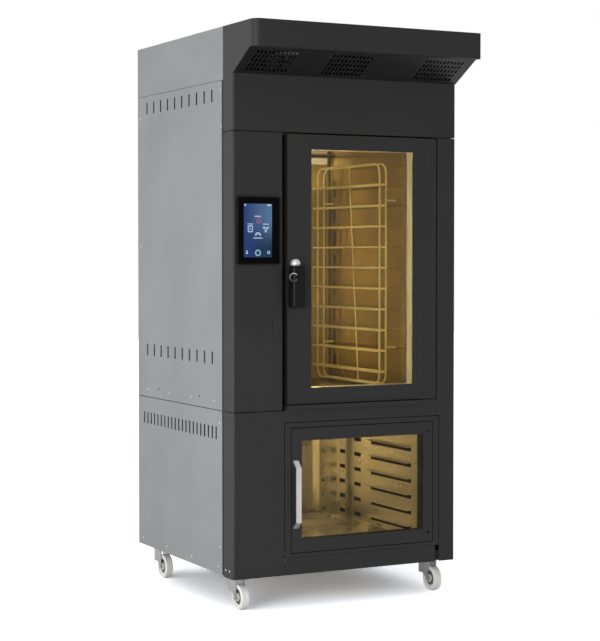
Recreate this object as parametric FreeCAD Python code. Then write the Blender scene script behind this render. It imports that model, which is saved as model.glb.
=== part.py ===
import FreeCAD, Part
import math
import os

# Bakery convection oven on a proofing cabinet, with a vapour hood above, standing on four castors.
# Millimetres. x runs across from the middle, y runs back from the front panels, z runs up from the floor.
# The finished pieces are shifted along y so that the middle of the whole depth lies over the origin.

os.makedirs("parts", exist_ok=True)
V = FreeCAD.Vector
X_AXIS = V(1, 0, 0)
Y_AXIS = V(0, 1, 0)
Z_AXIS = V(0, 0, 1)

# Trays that the oven is built around
TRAY_WIDTH = 325.0
TRAY_DEPTH = 530.0
RACK_LEVELS = 10
RACK_PITCH = 85.0

# Sheet metal and fits
SHEET = 1.5
SEAM = 3.0
SIDE_SEAM = 12.0
TOP_SEAM = 1.5
KICK_SEAM = 1.0
BEND_R = 8.0
FRONT_DROP = 4.0
RETURN_DEPTH = 90.0
AIR_GAP = 0.3
RUNNING_FIT = 0.05
WELD_GAP = 0.02
OVERCUT = 1.0

# Wire side racks in the oven chamber
WIRE_R = 4.0
RACK_CORNER_R = 40.0
RUNNER_CORNER_R = 5.0
TRAY_REST = 6.5
TRAY_PLAY = 12.5
LOOP_SPACING = 30.0
RACK_WALL_GAP = 44.0
RACK_FLOOR_GAP = 17.0
RACK_FIRST_LEVEL = 51.0
RACK_HEADROOM = 86.0
RACK_CEILING_GAP = 61.0
RACK_FRONT_GAP = 86.0
RACK_END_PLAY = 10.0
RACK_BACK_GAP = 30.0
RACK_STUD_R = 4.0
RACK_STUD_INSET = 150.0
BRACE_TOP_SHARE = 0.48
BRACE_FOOT_SHARE = 0.33
BRACE_R = 2.4

# Fans, heaters and lamp behind the oven chamber
FAN_SPACE = 76.5
FAN_R = 150.0
FAN_WIDTH = 50.0
FAN_BLADES = 8
BLADE_ROOT_SHARE = 0.55
FAN_DISC = 3.0
FAN_HUB_R = 26.0
FAN_SHAFT_R = 7.0
FAN_BACK_GAP = 8.0
FAN_SPREAD = 470.0
SHAFT_HOLE_R = 16.0
HEATER_RING_R = 178.0
HEATER_TUBE_R = 4.5
HEATER_LEG_R = 3.5
HEATER_LEG_SPREAD = 40.0
MOTOR_R = 58.0
MOTOR_LENGTH = 98.0
MOTOR_FLANGE = 170.0
MOTOR_FLANGE_THICK = 4.0
MOTOR_BACK_GAP = 24.0
INLET_R = 105.0
INLET_SLOT = 12.0
INLET_PITCH = 22.0
OUTLET_SLOT = 12.0
OUTLET_LENGTH = 70.0
OUTLET_COUNT = 8
OUTLET_INSET = 22.0
BAFFLE_PLAY = 4.0
LAMP_WIDTH = 74.0
LAMP_HEIGHT = 26.0
LAMP_DEPTH = 22.0
LAMP_SIDE_GAP = 23.0
LAMP_TOP_GAP = 12.0
INSULATION = 40.0

# Oven door and what frames it
CHAMBER_INSET_LEFT = 72.0
CHAMBER_INSET_RIGHT = 105.5
CHAMBER_INSET_BOTTOM = 37.0
CHAMBER_INSET_TOP = 35.0
WINDOW_INSET_LEFT = 104.0
WINDOW_INSET_RIGHT = 109.5
WINDOW_INSET_BOTTOM = 63.0
WINDOW_INSET_TOP = 57.0
OVEN_DOOR_THICK = 58.0
OVEN_GASKET = 8.0
OVEN_GASKET_WIDTH = 16.0
OVEN_GASKET_OFFSET = 8.0
OVEN_GLASS = 6.0
GLASS_LAP = 14.0
STILE_LINE_INSET = 58.5
STILE_LINE_WIDTH = 2.0
STILE_LINE_DEPTH = 0.6
RECESS_WIDTH = 24.0
HINGE_GAP = 5.0
COLUMN_WIDTH = 85.5
DOOR_LIFT = 21.0
DOOR_TOP_GAP = 7.0
PIN_R = 4.5
PIN_REACH = 18.0
PIN_INSET_X = 9.5
PIN_INSET_Y = 8.0
PIN_BLOCK = 22.0
BRACKET_THICK = 4.0
BRACKET_DEPTH = 30.0
BRACKET_REACH = 28.0

# Latch on the oven door
LEVER_WIDTH = 54.5
LEVER_DEPTH = 50.0
LEVER_HEIGHT = 163.0
LEVER_OVERHANG = 1.0
LEVER_RISE = 377.0
LEVER_STANDOFF = 4.0
LEVER_ROUND = 8.0
BOSS_R = 17.5
BOSS_INSET = 31.0
BOSS_ABOVE_LEVER = 10.5
BOSS_BASE = 12.0
BOSS_DOME = 14.0
SPINDLE_R = 7.0
SPINDLE_LENGTH = 30.0
WASHER_R = 13.0
WASHER_THICK = 3.0
LOCK_RING_R = 16.5
LOCK_RING_BORE = 14.3
LOCK_RING_DROP = 43.0
LOCK_RING_INSET = 9.0
LOCK_RING_SINK = 6.0
LOCK_RING_PROUD = 1.5
LOCK_RING_MOUTH = 26.0
KEEPER_WIDTH = 15.0
KEEPER_DEPTH = 26.0
KEEPER_HEIGHT = 60.0
KEEPER_SETBACK = 20.0

# Touch panel and control compartment
TABLET_WIDTH = 182.5
TABLET_HEIGHT = 262.5
TABLET_THICK = 10.0
TABLET_CORNER_R = 10.0
TABLET_RIM = 4.0
TABLET_GLASS = 3.0
TABLET_MARGIN_LEFT = 14.5
TABLET_MARGIN_RIGHT = 13.0
TABLET_RISE = 566.5
BOARD_WIDTH = 150.0
BOARD_HEIGHT = 200.0
BOARD_THICK = 2.0
BOARD_POST = 20.0
BOARD_POST_R = 4.0
BOARD_POST_INSET = 10.0
POWER_BOX_WIDTH = 150.0
POWER_BOX_DEPTH = 300.0
POWER_BOX_HEIGHT = 420.0
POWER_BOX_SIDE_GAP = 10.0
POWER_BOX_SETBACK = 250.0

# Drip gutter under the oven door
GUTTER_INSET_LEFT = 8.0
GUTTER_INSET_RIGHT = 73.5
GUTTER_PROUD = 12.0
GUTTER_HEIGHT = 17.0
GUTTER_LIFT = 1.0

# Proofing cabinet
PROOFER_LEVELS = 6
PROOFER_PITCH = 65.0
PROOFER_FIRST_LEVEL = 33.0
PROOFER_HEADROOM = 95.0
PROOFER_TRAY_WIDTH = 530.0
PROOFER_TRAY_PLAY = 10.0
PROOFER_DEPTH = 674.0
PROOFER_INSET_LEFT = 47.0
PROOFER_INSET_RIGHT = 46.0
PROOFER_INSET_BOTTOM = 17.0
PROOFER_INSET_TOP = 18.0
PROOFER_WINDOW_SIDE = 45.0
PROOFER_WINDOW_BOTTOM = 52.0
PROOFER_WINDOW_TOP = 49.0
PROOFER_DOOR_THICK = 40.0
PROOFER_GASKET = 6.0
PROOFER_GASKET_WIDTH = 10.0
PROOFER_GASKET_OFFSET = 2.0
PROOFER_GLASS = 5.0
PROOFER_DOOR_GAP = 3.0
PROOFER_PIN_R = 4.0
PROOFER_PIN_REACH = 15.0
PROOFER_PIN_INSET_X = 8.0
PROOFER_PIN_INSET_Y = 7.0
SURROUND_SIDE = 26.0
SURROUND_BOTTOM = 15.0
SURROUND_TOP = 19.0
LOWER_COLUMN_WIDTH = 74.0
HEADER_HEIGHT = 48.0
KICK_HEIGHT = 60.0
KICK_FLANGE = 25.0
KICK_INSET_RIGHT = 16.0
RUNNER_FLANGE = 25.0
RUNNER_WEB = 25.0
RUNNER_FRONT_GAP = 44.0
RUNNER_LENGTH = 340.0
AIR_SLOT_HEIGHT = 25.0
AIR_SLOT_DROP = 1.0
AIR_SLOT_RUNS = ((3.0, 337.0), (425.0, 485.0), (565.0, 615.0))
DUCT_WIDTH = 44.0
DUCT_DEPTH = 30.0
DUCT_INSET = 66.0
DUCT_HOLE = 16.0
PAN_WIDTH = 360.0
PAN_DEPTH = 200.0
PAN_HEIGHT = 22.0
PAN_BACK_GAP = 40.0
PAN_ROD_R = 4.0
HANDLE_LENGTH = 267.0
HANDLE_WIDTH = 23.0
HANDLE_THICK = 5.0
HANDLE_STANDOFF = 27.0
HANDLE_INSET = 7.0
HANDLE_RISE = 95.0
DOOR_SCREW_R = 3.5
DOOR_SCREW_PROUD = 1.5
DOOR_SCREW_INSET_X = 20.0
DOOR_SCREW_INSET_Z = 36.0

# Hood, fascia and flue
HOOD_OVERHANG = 188.0
HOOD_LIP = 102.0
HOOD_LEDGE = 38.0
HOOD_CORNER_R = 30.0
HOOD_FAR_CORNER_R = 4.0
FASCIA_HEIGHT = 218.0
FLUE_R = 75.0
FLUE_LENGTH = 40.0
FLUE_SETBACK = 480.0
HOOD_MOTOR_R = 55.0
HOOD_MOTOR_HEIGHT = 60.0
HOOD_FAN_R = 120.0
HOOD_FAN_HEIGHT = 60.0
HOOD_FAN_LIFT = 8.0
HOOD_FAN_HEADROOM = 16.5
HOOD_SHAFT_R = 6.0
HOOD_SHAFT_REACH = 40.0
FILTER_SLOT_WIDTH = 9.0
FILTER_SLOT_LENGTH = 19.0
FILTER_COLUMNS = 11
FILTER_ROWS = 5
FILTER_PITCH_X = 16.5
FILTER_PITCH_Y = 28.0
FILTER_EDGE = 45.0
FILTER_MIDDLE_SHIFT = -45.0
FILTER_PLAY = 0.5

# Side and back covers
TOP_COVER_HEIGHT = 205.0
VENT_WIDTH = 13.0
VENT_LENGTH = 49.0
VENT_COUNT = 10
VENT_END_GAP = 104.0
VENT_TOP_GAP = 29.0
VENT_BOTTOM_GAP = 176.0
LOWER_VENT_COUNT = 21
LOWER_VENT_END_GAP = 68.0
LOWER_VENT_TOP_GAP = 67.0
SCREW_R = 4.5
SCREW_SHANK_R = 2.5
SCREW_LENGTH = 10.0
SCREW_PLAY = 0.2
SCREW_EDGE = 29.0
SCREW_COUNT = 4
SCREW_ROW_END = 50.0
SCREW_SIDE = 37.0
SCREW_SIDE_RISE = 107.0
MAIN_ROW_RISE = 33.0
MAIN_ROW_BACK = 109.0
MAIN_REAR_DROP = 92.0
MAIN_FRONT_DROP = 178.0
EDGE_SCREW_INSET = 6.5
RETURN_SCREW_PITCH = 34.0
RETURN_SCREW_SETBACK = 36.0
POCKET_SIZE = 110.0
POCKET_DEPTH = 45.0
POCKET_SIDE_GAP = 60.0
POCKET_RISE = 120.0
GLAND_R = 20.0
GLAND_BORE_R = 10.0
GLAND_LENGTH = 36.0
GLAND_NUT_R = 27.0
GLAND_NUT_THICK = 12.0

# Chassis and castors
RAIL = 40.0
POST = 30.0
TUBE_WALL = 2.0
POST_SETBACK = 40.0
BEARER_SETBACK = 120.0
CASTOR_HEIGHT = 135.0
CASTOR_INSET_X = 63.0
CASTOR_INSET_Y = 107.0
CASTOR_TRAIL = 37.0
WHEEL_R = 50.0
WHEEL_WIDTH = 32.0
WHEEL_ROUND = 4.0
WHEEL_HUB_R = 15.0
WHEEL_HUB_WIDTH = 34.0
WHEEL_DISH_R = 36.0
WHEEL_DISH_DEPTH = 6.0
AXLE_R = 6.0
AXLE_HEAD_R = 9.0
AXLE_HEAD = 5.0
PLATE_LENGTH = 100.0
PLATE_WIDTH = 85.0
PLATE_THICK = 4.0
KINGPIN_R = 6.0
KINGPIN_LENGTH = 18.0
CROWN_R = 30.0
CROWN_THICK = 10.0
FORK_THICK = 4.0
FORK_GAP = 0.5
FORK_EYE_R = 12.0
FORK_HEEL = 35.0
FORK_HEEL_Z = 66.0

# Oven chamber and door, built outward from the trays
CHAMBER_WIDTH = TRAY_WIDTH + 2 * (TRAY_PLAY + LOOP_SPACING + RACK_WALL_GAP)
RACK_SPAN = RACK_PITCH * (RACK_LEVELS - 1)
RACK_HEIGHT = RACK_FIRST_LEVEL + RACK_SPAN + RACK_HEADROOM
CHAMBER_HEIGHT = RACK_FLOOR_GAP + RACK_HEIGHT + RACK_CEILING_GAP
RACK_LENGTH = TRAY_DEPTH + RACK_END_PLAY
CHAMBER_DEPTH = RACK_FRONT_GAP + RACK_LENGTH + RACK_BACK_GAP + SHEET + FAN_SPACE
DOOR_WIDTH = CHAMBER_INSET_LEFT + CHAMBER_WIDTH + CHAMBER_INSET_RIGHT
DOOR_HEIGHT = CHAMBER_INSET_BOTTOM + CHAMBER_HEIGHT + CHAMBER_INSET_TOP

# Proofer chamber and door
PROOFER_SPAN = PROOFER_PITCH * (PROOFER_LEVELS - 1)
PROOFER_HEIGHT = PROOFER_FIRST_LEVEL + PROOFER_SPAN + PROOFER_HEADROOM
PROOFER_WIDTH = PROOFER_TRAY_WIDTH + 2 * PROOFER_TRAY_PLAY
PROOFER_DOOR_WIDTH = PROOFER_INSET_LEFT + PROOFER_WIDTH + PROOFER_INSET_RIGHT
PROOFER_DOOR_HEIGHT = PROOFER_INSET_BOTTOM + PROOFER_HEIGHT + PROOFER_INSET_TOP

# Outside of the cabinet
CONTROL_WIDTH = TABLET_MARGIN_LEFT + TABLET_WIDTH + TABLET_MARGIN_RIGHT
BODY_WIDTH = CONTROL_WIDTH + RECESS_WIDTH + DOOR_WIDTH + HINGE_GAP + COLUMN_WIDTH
Y_FLANGE = OVEN_DOOR_THICK + OVEN_GASKET
CHAMBER_BACK = Y_FLANGE + CHAMBER_DEPTH
MOTOR_FACE = CHAMBER_BACK + SHEET + INSULATION
BODY_DEPTH = MOTOR_FACE + MOTOR_LENGTH + MOTOR_BACK_GAP + SHEET
SURROUND_HEIGHT = SURROUND_BOTTOM + PROOFER_DOOR_HEIGHT + 2 * PROOFER_DOOR_GAP + SURROUND_TOP
LOWER_HEIGHT = KICK_HEIGHT + SEAM + SURROUND_HEIGHT + SEAM + HEADER_HEIGHT
OVEN_HEIGHT = DOOR_LIFT + DOOR_HEIGHT + DOOR_TOP_GAP
FAN_STACK = HOOD_MOTOR_HEIGHT + HOOD_FAN_LIFT + HOOD_FAN_HEIGHT + HOOD_FAN_HEADROOM
HOOD_HEIGHT = SHEET + FAN_STACK + FLUE_LENGTH
HALF = BODY_WIDTH / 2
INSIDE = HALF - SHEET
Z_BODY = CASTOR_HEIGHT
Z_OVEN = Z_BODY + LOWER_HEIGHT
Z_FASCIA = Z_OVEN + OVEN_HEIGHT
Z_HOOD = Z_FASCIA + FASCIA_HEIGHT
Z_TOP = Z_HOOD + HOOD_HEIGHT
Z_LIP = Z_TOP - HOOD_LIP
SHIFT = V(0, (HOOD_OVERHANG - BODY_DEPTH) / 2, 0)

# Edges of the oven door, its window and the chamber behind it
DOOR_X0 = -HALF + CONTROL_WIDTH + RECESS_WIDTH
DOOR_X1 = DOOR_X0 + DOOR_WIDTH
DOOR_Z0 = Z_OVEN + DOOR_LIFT
DOOR_Z1 = DOOR_Z0 + DOOR_HEIGHT
WINDOW = (DOOR_X0 + WINDOW_INSET_LEFT, DOOR_X1 - WINDOW_INSET_RIGHT,
          DOOR_Z0 + WINDOW_INSET_BOTTOM, DOOR_Z1 - WINDOW_INSET_TOP)
CHAMBER_X0 = DOOR_X0 + CHAMBER_INSET_LEFT
CHAMBER_X1 = CHAMBER_X0 + CHAMBER_WIDTH
CHAMBER_MID = (CHAMBER_X0 + CHAMBER_X1) / 2
CHAMBER_Z0 = DOOR_Z0 + CHAMBER_INSET_BOTTOM
CHAMBER_Z1 = CHAMBER_Z0 + CHAMBER_HEIGHT
BAFFLE_Y = CHAMBER_BACK - FAN_SPACE - SHEET
PIN_X = DOOR_X1 - PIN_INSET_X
PIN_Y = PIN_INSET_Y
FAN_HEIGHTS = [(CHAMBER_Z0 + CHAMBER_Z1 + side * FAN_SPREAD) / 2 for side in (1, -1)]
MID_RAIL_TOP = CHAMBER_Z0 - SHEET - INSULATION

# Edges of the proofer's surround, door, window and chamber
LOWER_COVER_WIDTH = (BODY_WIDTH - LOWER_COLUMN_WIDTH - 2 * SEAM - 2 * SURROUND_SIDE
                     - 2 * PROOFER_DOOR_GAP - PROOFER_DOOR_WIDTH)
SURROUND_X0 = -HALF + LOWER_COVER_WIDTH + SEAM
SURROUND_X1 = HALF - LOWER_COLUMN_WIDTH - SEAM
SURROUND_Z0 = Z_BODY + KICK_HEIGHT + SEAM
SURROUND_Z1 = SURROUND_Z0 + SURROUND_HEIGHT
OPENING_X0 = SURROUND_X0 + SURROUND_SIDE
OPENING_X1 = SURROUND_X1 - SURROUND_SIDE
OPENING_Z0 = SURROUND_Z0 + SURROUND_BOTTOM
OPENING_Z1 = SURROUND_Z1 - SURROUND_TOP
PDOOR_X0 = OPENING_X0 + PROOFER_DOOR_GAP
PDOOR_X1 = OPENING_X1 - PROOFER_DOOR_GAP
PDOOR_Z0 = OPENING_Z0 + PROOFER_DOOR_GAP
PDOOR_Z1 = OPENING_Z1 - PROOFER_DOOR_GAP
PROOFER_WINDOW = (PDOOR_X0 + PROOFER_WINDOW_SIDE, PDOOR_X1 - PROOFER_WINDOW_SIDE,
                  PDOOR_Z0 + PROOFER_WINDOW_BOTTOM, PDOOR_Z1 - PROOFER_WINDOW_TOP)
PROOFER_X0 = PDOOR_X0 + PROOFER_INSET_LEFT
PROOFER_X1 = PROOFER_X0 + PROOFER_WIDTH
PROOFER_Z0 = PDOOR_Z0 + PROOFER_INSET_BOTTOM
PROOFER_Z1 = PROOFER_Z0 + PROOFER_HEIGHT
PROOFER_FLANGE = PROOFER_DOOR_THICK + PROOFER_GASKET
PROOFER_BACK = PROOFER_FLANGE + PROOFER_DEPTH
PROOFER_PIN_X = PDOOR_X1 - PROOFER_PIN_INSET_X
PROOFER_PIN_Y = PROOFER_PIN_INSET_Y


def save(node, *solids):
    """Write one node's solids, moved to the finished frame."""
    shape = solids[0] if len(solids) == 1 else Part.makeCompound(list(solids))
    shape = shape.copy()
    shape.translate(SHIFT)
    shape.exportStep("parts/" + node + ".step")


def box(x0, x1, y0, y1, z0, z1):
    """Block between two corners."""
    return Part.makeBox(x1 - x0, y1 - y0, z1 - z0, V(x0, y0, z0))


def tube(x0, x1, y0, y1, z0, z1):
    """Square steel tube that runs along its longest side, open at both ends."""
    lengths = (x1 - x0, y1 - y0, z1 - z0)
    walls = [-OVERCUT if length == max(lengths) else TUBE_WALL for length in lengths]
    bore = box(x0 + walls[0], x1 - walls[0], y0 + walls[1], y1 - walls[1],
               z0 + walls[2], z1 - walls[2])
    return box(x0, x1, y0, y1, z0, z1).cut(bore)


def rod(start, end, radius):
    """Round bar from one point to another."""
    along = end - start
    return Part.makeCylinder(radius, along.Length, start, along)


def fuse(shapes):
    """One solid from touching or crossing shapes, without leftover seams."""
    return shapes[0].multiFuse(shapes[1:]).removeSplitter()


def cut(shape, tools):
    """Shape less all the tools at once."""
    return shape.cut(Part.makeCompound(tools))


def prism(points, sweep):
    """Flat outline swept straight along a vector."""
    return Part.Face(Part.makePolygon(points + points[:1])).extrude(sweep)


def round_edges(shape, radius, direction):
    """Fillet the straight edges that run along a direction."""
    chosen = [e for e in shape.Edges if abs(e.tangentAt(e.FirstParameter).dot(direction)) > 0.99]
    return shape.makeFillet(radius, chosen)


def mirror_x(shape, middle):
    """Copy mirrored left to right about a plane."""
    return shape.mirror(V(middle, 0, 0), X_AXIS)


def spread(first, last, count):
    """Evenly spaced places from first to last."""
    return [first + (last - first) * i / (count - 1) for i in range(count)]


def ring_plate(outer, inner, y0, y1):
    """Flat frame between two rectangles (x0, x1, z0, z1)."""
    plate = box(outer[0], outer[1], y0, y1, outer[2], outer[3])
    return plate.cut(box(inner[0], inner[1], y0 - OVERCUT, y1 + OVERCUT, inner[2], inner[3]))


def grow(rect, by):
    """Rectangle (x0, x1, z0, z1) enlarged on every side."""
    return (rect[0] - by, rect[1] + by, rect[2] - by, rect[3] + by)


def wire_pieces(origin, u, v, width, height, corner, radius):
    """Runs and bends of a rounded rectangle of wire, from its low corner along unit vectors u and v."""
    normal = u.cross(v)
    pieces = []
    for start, end, lead, side in (((corner, 0), (width - corner, 0), u, v),
                                   ((width, corner), (width, height - corner), v, u * -1),
                                   ((width - corner, height), (corner, height), u * -1, v * -1),
                                   ((0, height - corner), (0, corner), v * -1, u)):
        a = origin + u * start[0] + v * start[1]
        b = origin + u * end[0] + v * end[1]
        section = Part.Face(Part.Wire(Part.makeCircle(radius, b, lead)))
        pieces.append(rod(a, b, radius))
        pieces.append(section.revolve(b + side * corner, normal, 90))
    return pieces


def liner(x0, x1, z0, z1, y0, y1, flange):
    """Welded sheet box open to the front: its walls and the flange strips round its mouth, and its back."""
    left, right = x0 - SHEET, x1 + SHEET
    low, high = z0 - SHEET, z1 + SHEET
    rim = y0 + SHEET
    walls = [box(left, x0, y0, y1, low, high), box(x1, right, y0, y1, low, high),
             box(x0, x1, y0, y1, low, z0), box(x0, x1, y0, y1, z1, high)]
    strips = [box(flange[0], left, y0, rim, flange[2], flange[3]),
              box(right, flange[1], y0, rim, flange[2], flange[3]),
              box(left, right, y0, rim, flange[2], low), box(left, right, y0, rim, high, flange[3])]
    return walls + strips, box(left, right, y1, y1 + SHEET, low, high)


def door_pan(x0, x1, z0, z1, thick, window):
    """Folded door skin, open at the back, with its window cut out."""
    pan = box(x0, x1, 0, thick, z0, z1)
    hollow = box(x0 + SHEET, x1 - SHEET, SHEET, thick + OVERCUT, z0 + SHEET, z1 - SHEET)
    hole = box(window[0], window[1], -OVERCUT, SHEET + OVERCUT, window[2], window[3])
    return cut(pan, [hollow, hole])


def door_back(x0, x1, z0, z1, thick, window):
    """Inner cover of a door, a flat frame that closes the pan."""
    outer = (x0 + SHEET, x1 - SHEET, z0 + SHEET, z1 - SHEET)
    return ring_plate(outer, window, thick - SHEET, thick)


def door_reveal(window, y0, y1):
    """Tube of sheet round the window between the panes."""
    return ring_plate(grow(window, SHEET), window, y0, y1)


def pane(window, y0, y1):
    """Glass that laps behind the edge of a window."""
    edge = grow(window, GLASS_LAP)
    return box(edge[0], edge[1], y0, y1, edge[2], edge[3])


def gasket(chamber, offset, width, y0, y1):
    """Square seal that runs round a chamber's mouth."""
    return ring_plate(grow(chamber, offset + width), grow(chamber, offset), y0, y1)


def chassis():
    """Welded tube frame: base rails, posts, oven shelf rails, proofer bearers and the hood's deck."""
    solids = []
    base_top = Z_BODY + RAIL
    back = BODY_DEPTH - SHEET
    deck = Z_HOOD
    proofer_floor = PROOFER_Z0 - SHEET
    post_rows = ((POST_SETBACK, POST_SETBACK + POST), (back - POST, back))
    for side in (-1, 1):
        inner, outer = sorted((side * (INSIDE - RAIL), side * INSIDE))
        post_x = sorted((side * (INSIDE - POST), side * INSIDE))
        solids.append(tube(inner, outer, SHEET + BEND_R, back, Z_BODY, base_top))
        for y0, y1 in post_rows:
            solids.append(tube(post_x[0], post_x[1], y0, y1, base_top, deck))
        solids.append(tube(inner, outer, post_rows[0][1], post_rows[1][0],
                           MID_RAIL_TOP - RAIL, MID_RAIL_TOP))
    span = INSIDE - RAIL
    for y0 in (SHEET, back - RAIL):
        solids.append(tube(-span, span, y0, y0 + RAIL, Z_BODY, base_top))
    for y0 in (Y_FLANGE + RAIL, CHAMBER_BACK - 2 * RAIL):
        solids.append(tube(-span, span, y0, y0 + RAIL, MID_RAIL_TOP - RAIL, MID_RAIL_TOP))
    for y0 in (BEARER_SETBACK, PROOFER_BACK - BEARER_SETBACK):
        solids.append(tube(-INSIDE, INSIDE, y0, y0 + RAIL, base_top, proofer_floor))
    solids.append(box(-INSIDE, INSIDE, SHEET, back, deck, deck + SHEET))
    threads = [thread_hole(p, X_AXIS) for p in left_screw_points()]
    threads += [mirror_x(t, 0) for t in threads]
    threads += [thread_hole(p, X_AXIS) for p in return_screw_points()]
    save("chassis_frame", *[cut(s, threads) for s in solids])


def screw_at(point, inward):
    """Flush panel screw whose head is level with the sheet's outer face."""
    head = rod(point, point + inward * SHEET, SCREW_R)
    shank = rod(point + inward * SHEET, point + inward * SCREW_LENGTH, SCREW_SHANK_R)
    return fuse([head, shank])


def screw_hole(point, inward):
    """Clearance through the sheet for one panel screw."""
    return rod(point - inward, point + inward * (SHEET + OVERCUT), SCREW_R + SCREW_PLAY)


def thread_hole(point, inward):
    """Hole in the chassis behind one panel screw."""
    return rod(point, point + inward * (SCREW_LENGTH + OVERCUT), SCREW_SHANK_R + SCREW_PLAY)


def left_screw_points():
    """All the screws of the left side covers."""
    lower, main = side_screw_places()
    return [V(-HALF, y, z) for y, z in lower + main]


def side_screw_places():
    """Places (y, z) of the screws in the lower and the main side covers."""
    front = RETURN_DEPTH + SCREW_ROW_END
    back = BODY_DEPTH - SCREW_ROW_END
    column = RETURN_DEPTH + SCREW_SIDE
    lower = [(y, Z_BODY + SCREW_EDGE) for y in spread(front, back, SCREW_COUNT)]
    lower += [(column, Z_BODY + SCREW_SIDE_RISE), (column, Z_OVEN - SCREW_ROW_END)]
    row = spread(front + SCREW_SIDE, BODY_DEPTH - MAIN_ROW_BACK, SCREW_COUNT)
    main = [(y, Z_OVEN + MAIN_ROW_RISE) for y in row]
    cover_top = Z_TOP - TOP_COVER_HEIGHT
    rear_heights = (cover_top - MAIN_REAR_DROP, (cover_top + Z_OVEN) / 2)
    main += [(BODY_DEPTH - SCREW_EDGE, z) for z in rear_heights]
    front_heights = (cover_top - SCREW_SIDE, cover_top - MAIN_FRONT_DROP)
    main += [(RETURN_DEPTH + SIDE_SEAM + EDGE_SCREW_INSET, z) for z in front_heights]
    return lower, main


def vent_row(count, end_gap, z0):
    """Upright vent slots through the left side cover, evenly spaced along its depth."""
    places = spread(RETURN_DEPTH + end_gap, BODY_DEPTH - end_gap, count)
    half = VENT_WIDTH / 2
    x0, x1 = -HALF - OVERCUT, -INSIDE + OVERCUT
    return [box(x0, x1, y - half, y + half, z0, z0 + VENT_LENGTH) for y in places]


def side_covers():
    """Grey side covers in three tiers, left and right alike, and all their screws."""
    cover_top = Z_TOP - TOP_COVER_HEIGHT
    lower_screws, main_screws = side_screw_places()
    lower_foot = Z_OVEN - LOWER_VENT_TOP_GAP - VENT_LENGTH
    lower_cuts = vent_row(LOWER_VENT_COUNT, LOWER_VENT_END_GAP, lower_foot)
    main_cuts = vent_row(VENT_COUNT, VENT_END_GAP, cover_top - VENT_TOP_GAP - VENT_LENGTH)
    main_cuts += vent_row(VENT_COUNT, VENT_END_GAP, Z_OVEN + VENT_BOTTOM_GAP)
    edge = RETURN_DEPTH + SIDE_SEAM
    tiers = (("lower_side_covers", edge, Z_BODY, Z_OVEN - SEAM, lower_screws, lower_cuts),
             ("main_side_covers", edge, Z_OVEN, cover_top - TOP_SEAM, main_screws, main_cuts),
             ("top_side_covers", RETURN_DEPTH, cover_top, Z_TOP, [], []))
    for node, y0, z0, z1, places, cuts in tiers:
        sheet = box(-HALF, -INSIDE, y0, BODY_DEPTH, z0, z1)
        holes = [screw_hole(V(-HALF, y, z), X_AXIS) for y, z in places]
        if holes:
            sheet = cut(sheet, cuts + holes)
        save(node, sheet, mirror_x(sheet, 0))
    screws = [screw_at(p, X_AXIS) for p in left_screw_points()]
    screws += [mirror_x(s, 0) for s in screws]
    screws += [screw_at(p, X_AXIS) for p in return_screw_points()]
    save("panel_screws", *screws)


def return_screw_points():
    """Two screws low on the left return of the lower front cover."""
    z = Z_BODY + SCREW_EDGE - FRONT_DROP
    return [V(-HALF, y, z) for y in (RETURN_SCREW_SETBACK, RETURN_SCREW_SETBACK + RETURN_SCREW_PITCH)]


def back_and_top():
    """Back cover with its cable pocket and the gland in it, and the top cover with the flue collar."""
    y0 = BODY_DEPTH - SHEET
    back = box(-INSIDE, INSIDE, y0, BODY_DEPTH, Z_BODY, Z_TOP - SHEET)
    px0 = -INSIDE + POCKET_SIDE_GAP
    px1 = px0 + POCKET_SIZE
    pz0 = Z_BODY + POCKET_RISE
    pz1 = pz0 + POCKET_SIZE
    py0 = BODY_DEPTH - POCKET_DEPTH
    middle = V((px0 + px1) / 2, py0, (pz0 + pz1) / 2)
    hole = rod(middle - Y_AXIS * (SHEET + OVERCUT), middle + Y_AXIS, GLAND_R)
    pocket = box(px0 - SHEET, px1 + SHEET, py0 - SHEET, y0, pz0 - SHEET, pz1 + SHEET)
    pocket = cut(pocket, [box(px0, px1, py0, BODY_DEPTH, pz0, pz1), hole])
    mouth = box(px0, px1, y0 - OVERCUT, BODY_DEPTH + OVERCUT, pz0, pz1)
    save("back_cover", back.cut(mouth), pocket)
    tail = middle - Y_AXIS * (GLAND_LENGTH - GLAND_NUT_THICK - SHEET)
    body = rod(tail, middle, GLAND_R - SCREW_PLAY)
    nut = rod(middle, middle + Y_AXIS * GLAND_NUT_THICK, GLAND_NUT_R)
    bore = rod(middle - Y_AXIS * GLAND_LENGTH, middle + Y_AXIS * GLAND_LENGTH, GLAND_BORE_R)
    save("cable_gland", fuse([body, nut]).cut(bore))
    top = box(-INSIDE, INSIDE, RETURN_DEPTH, BODY_DEPTH, Z_TOP - SHEET, Z_TOP)
    foot = V(0, FLUE_SETBACK, Z_TOP - FLUE_LENGTH)
    duct = Part.makeCylinder(FLUE_R, FLUE_LENGTH + 2 * OVERCUT, foot - Z_AXIS * OVERCUT)
    collar = Part.makeCylinder(FLUE_R + SHEET, FLUE_LENGTH - SHEET, foot)
    save("top_cover", top.cut(duct), collar.cut(duct))


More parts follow.
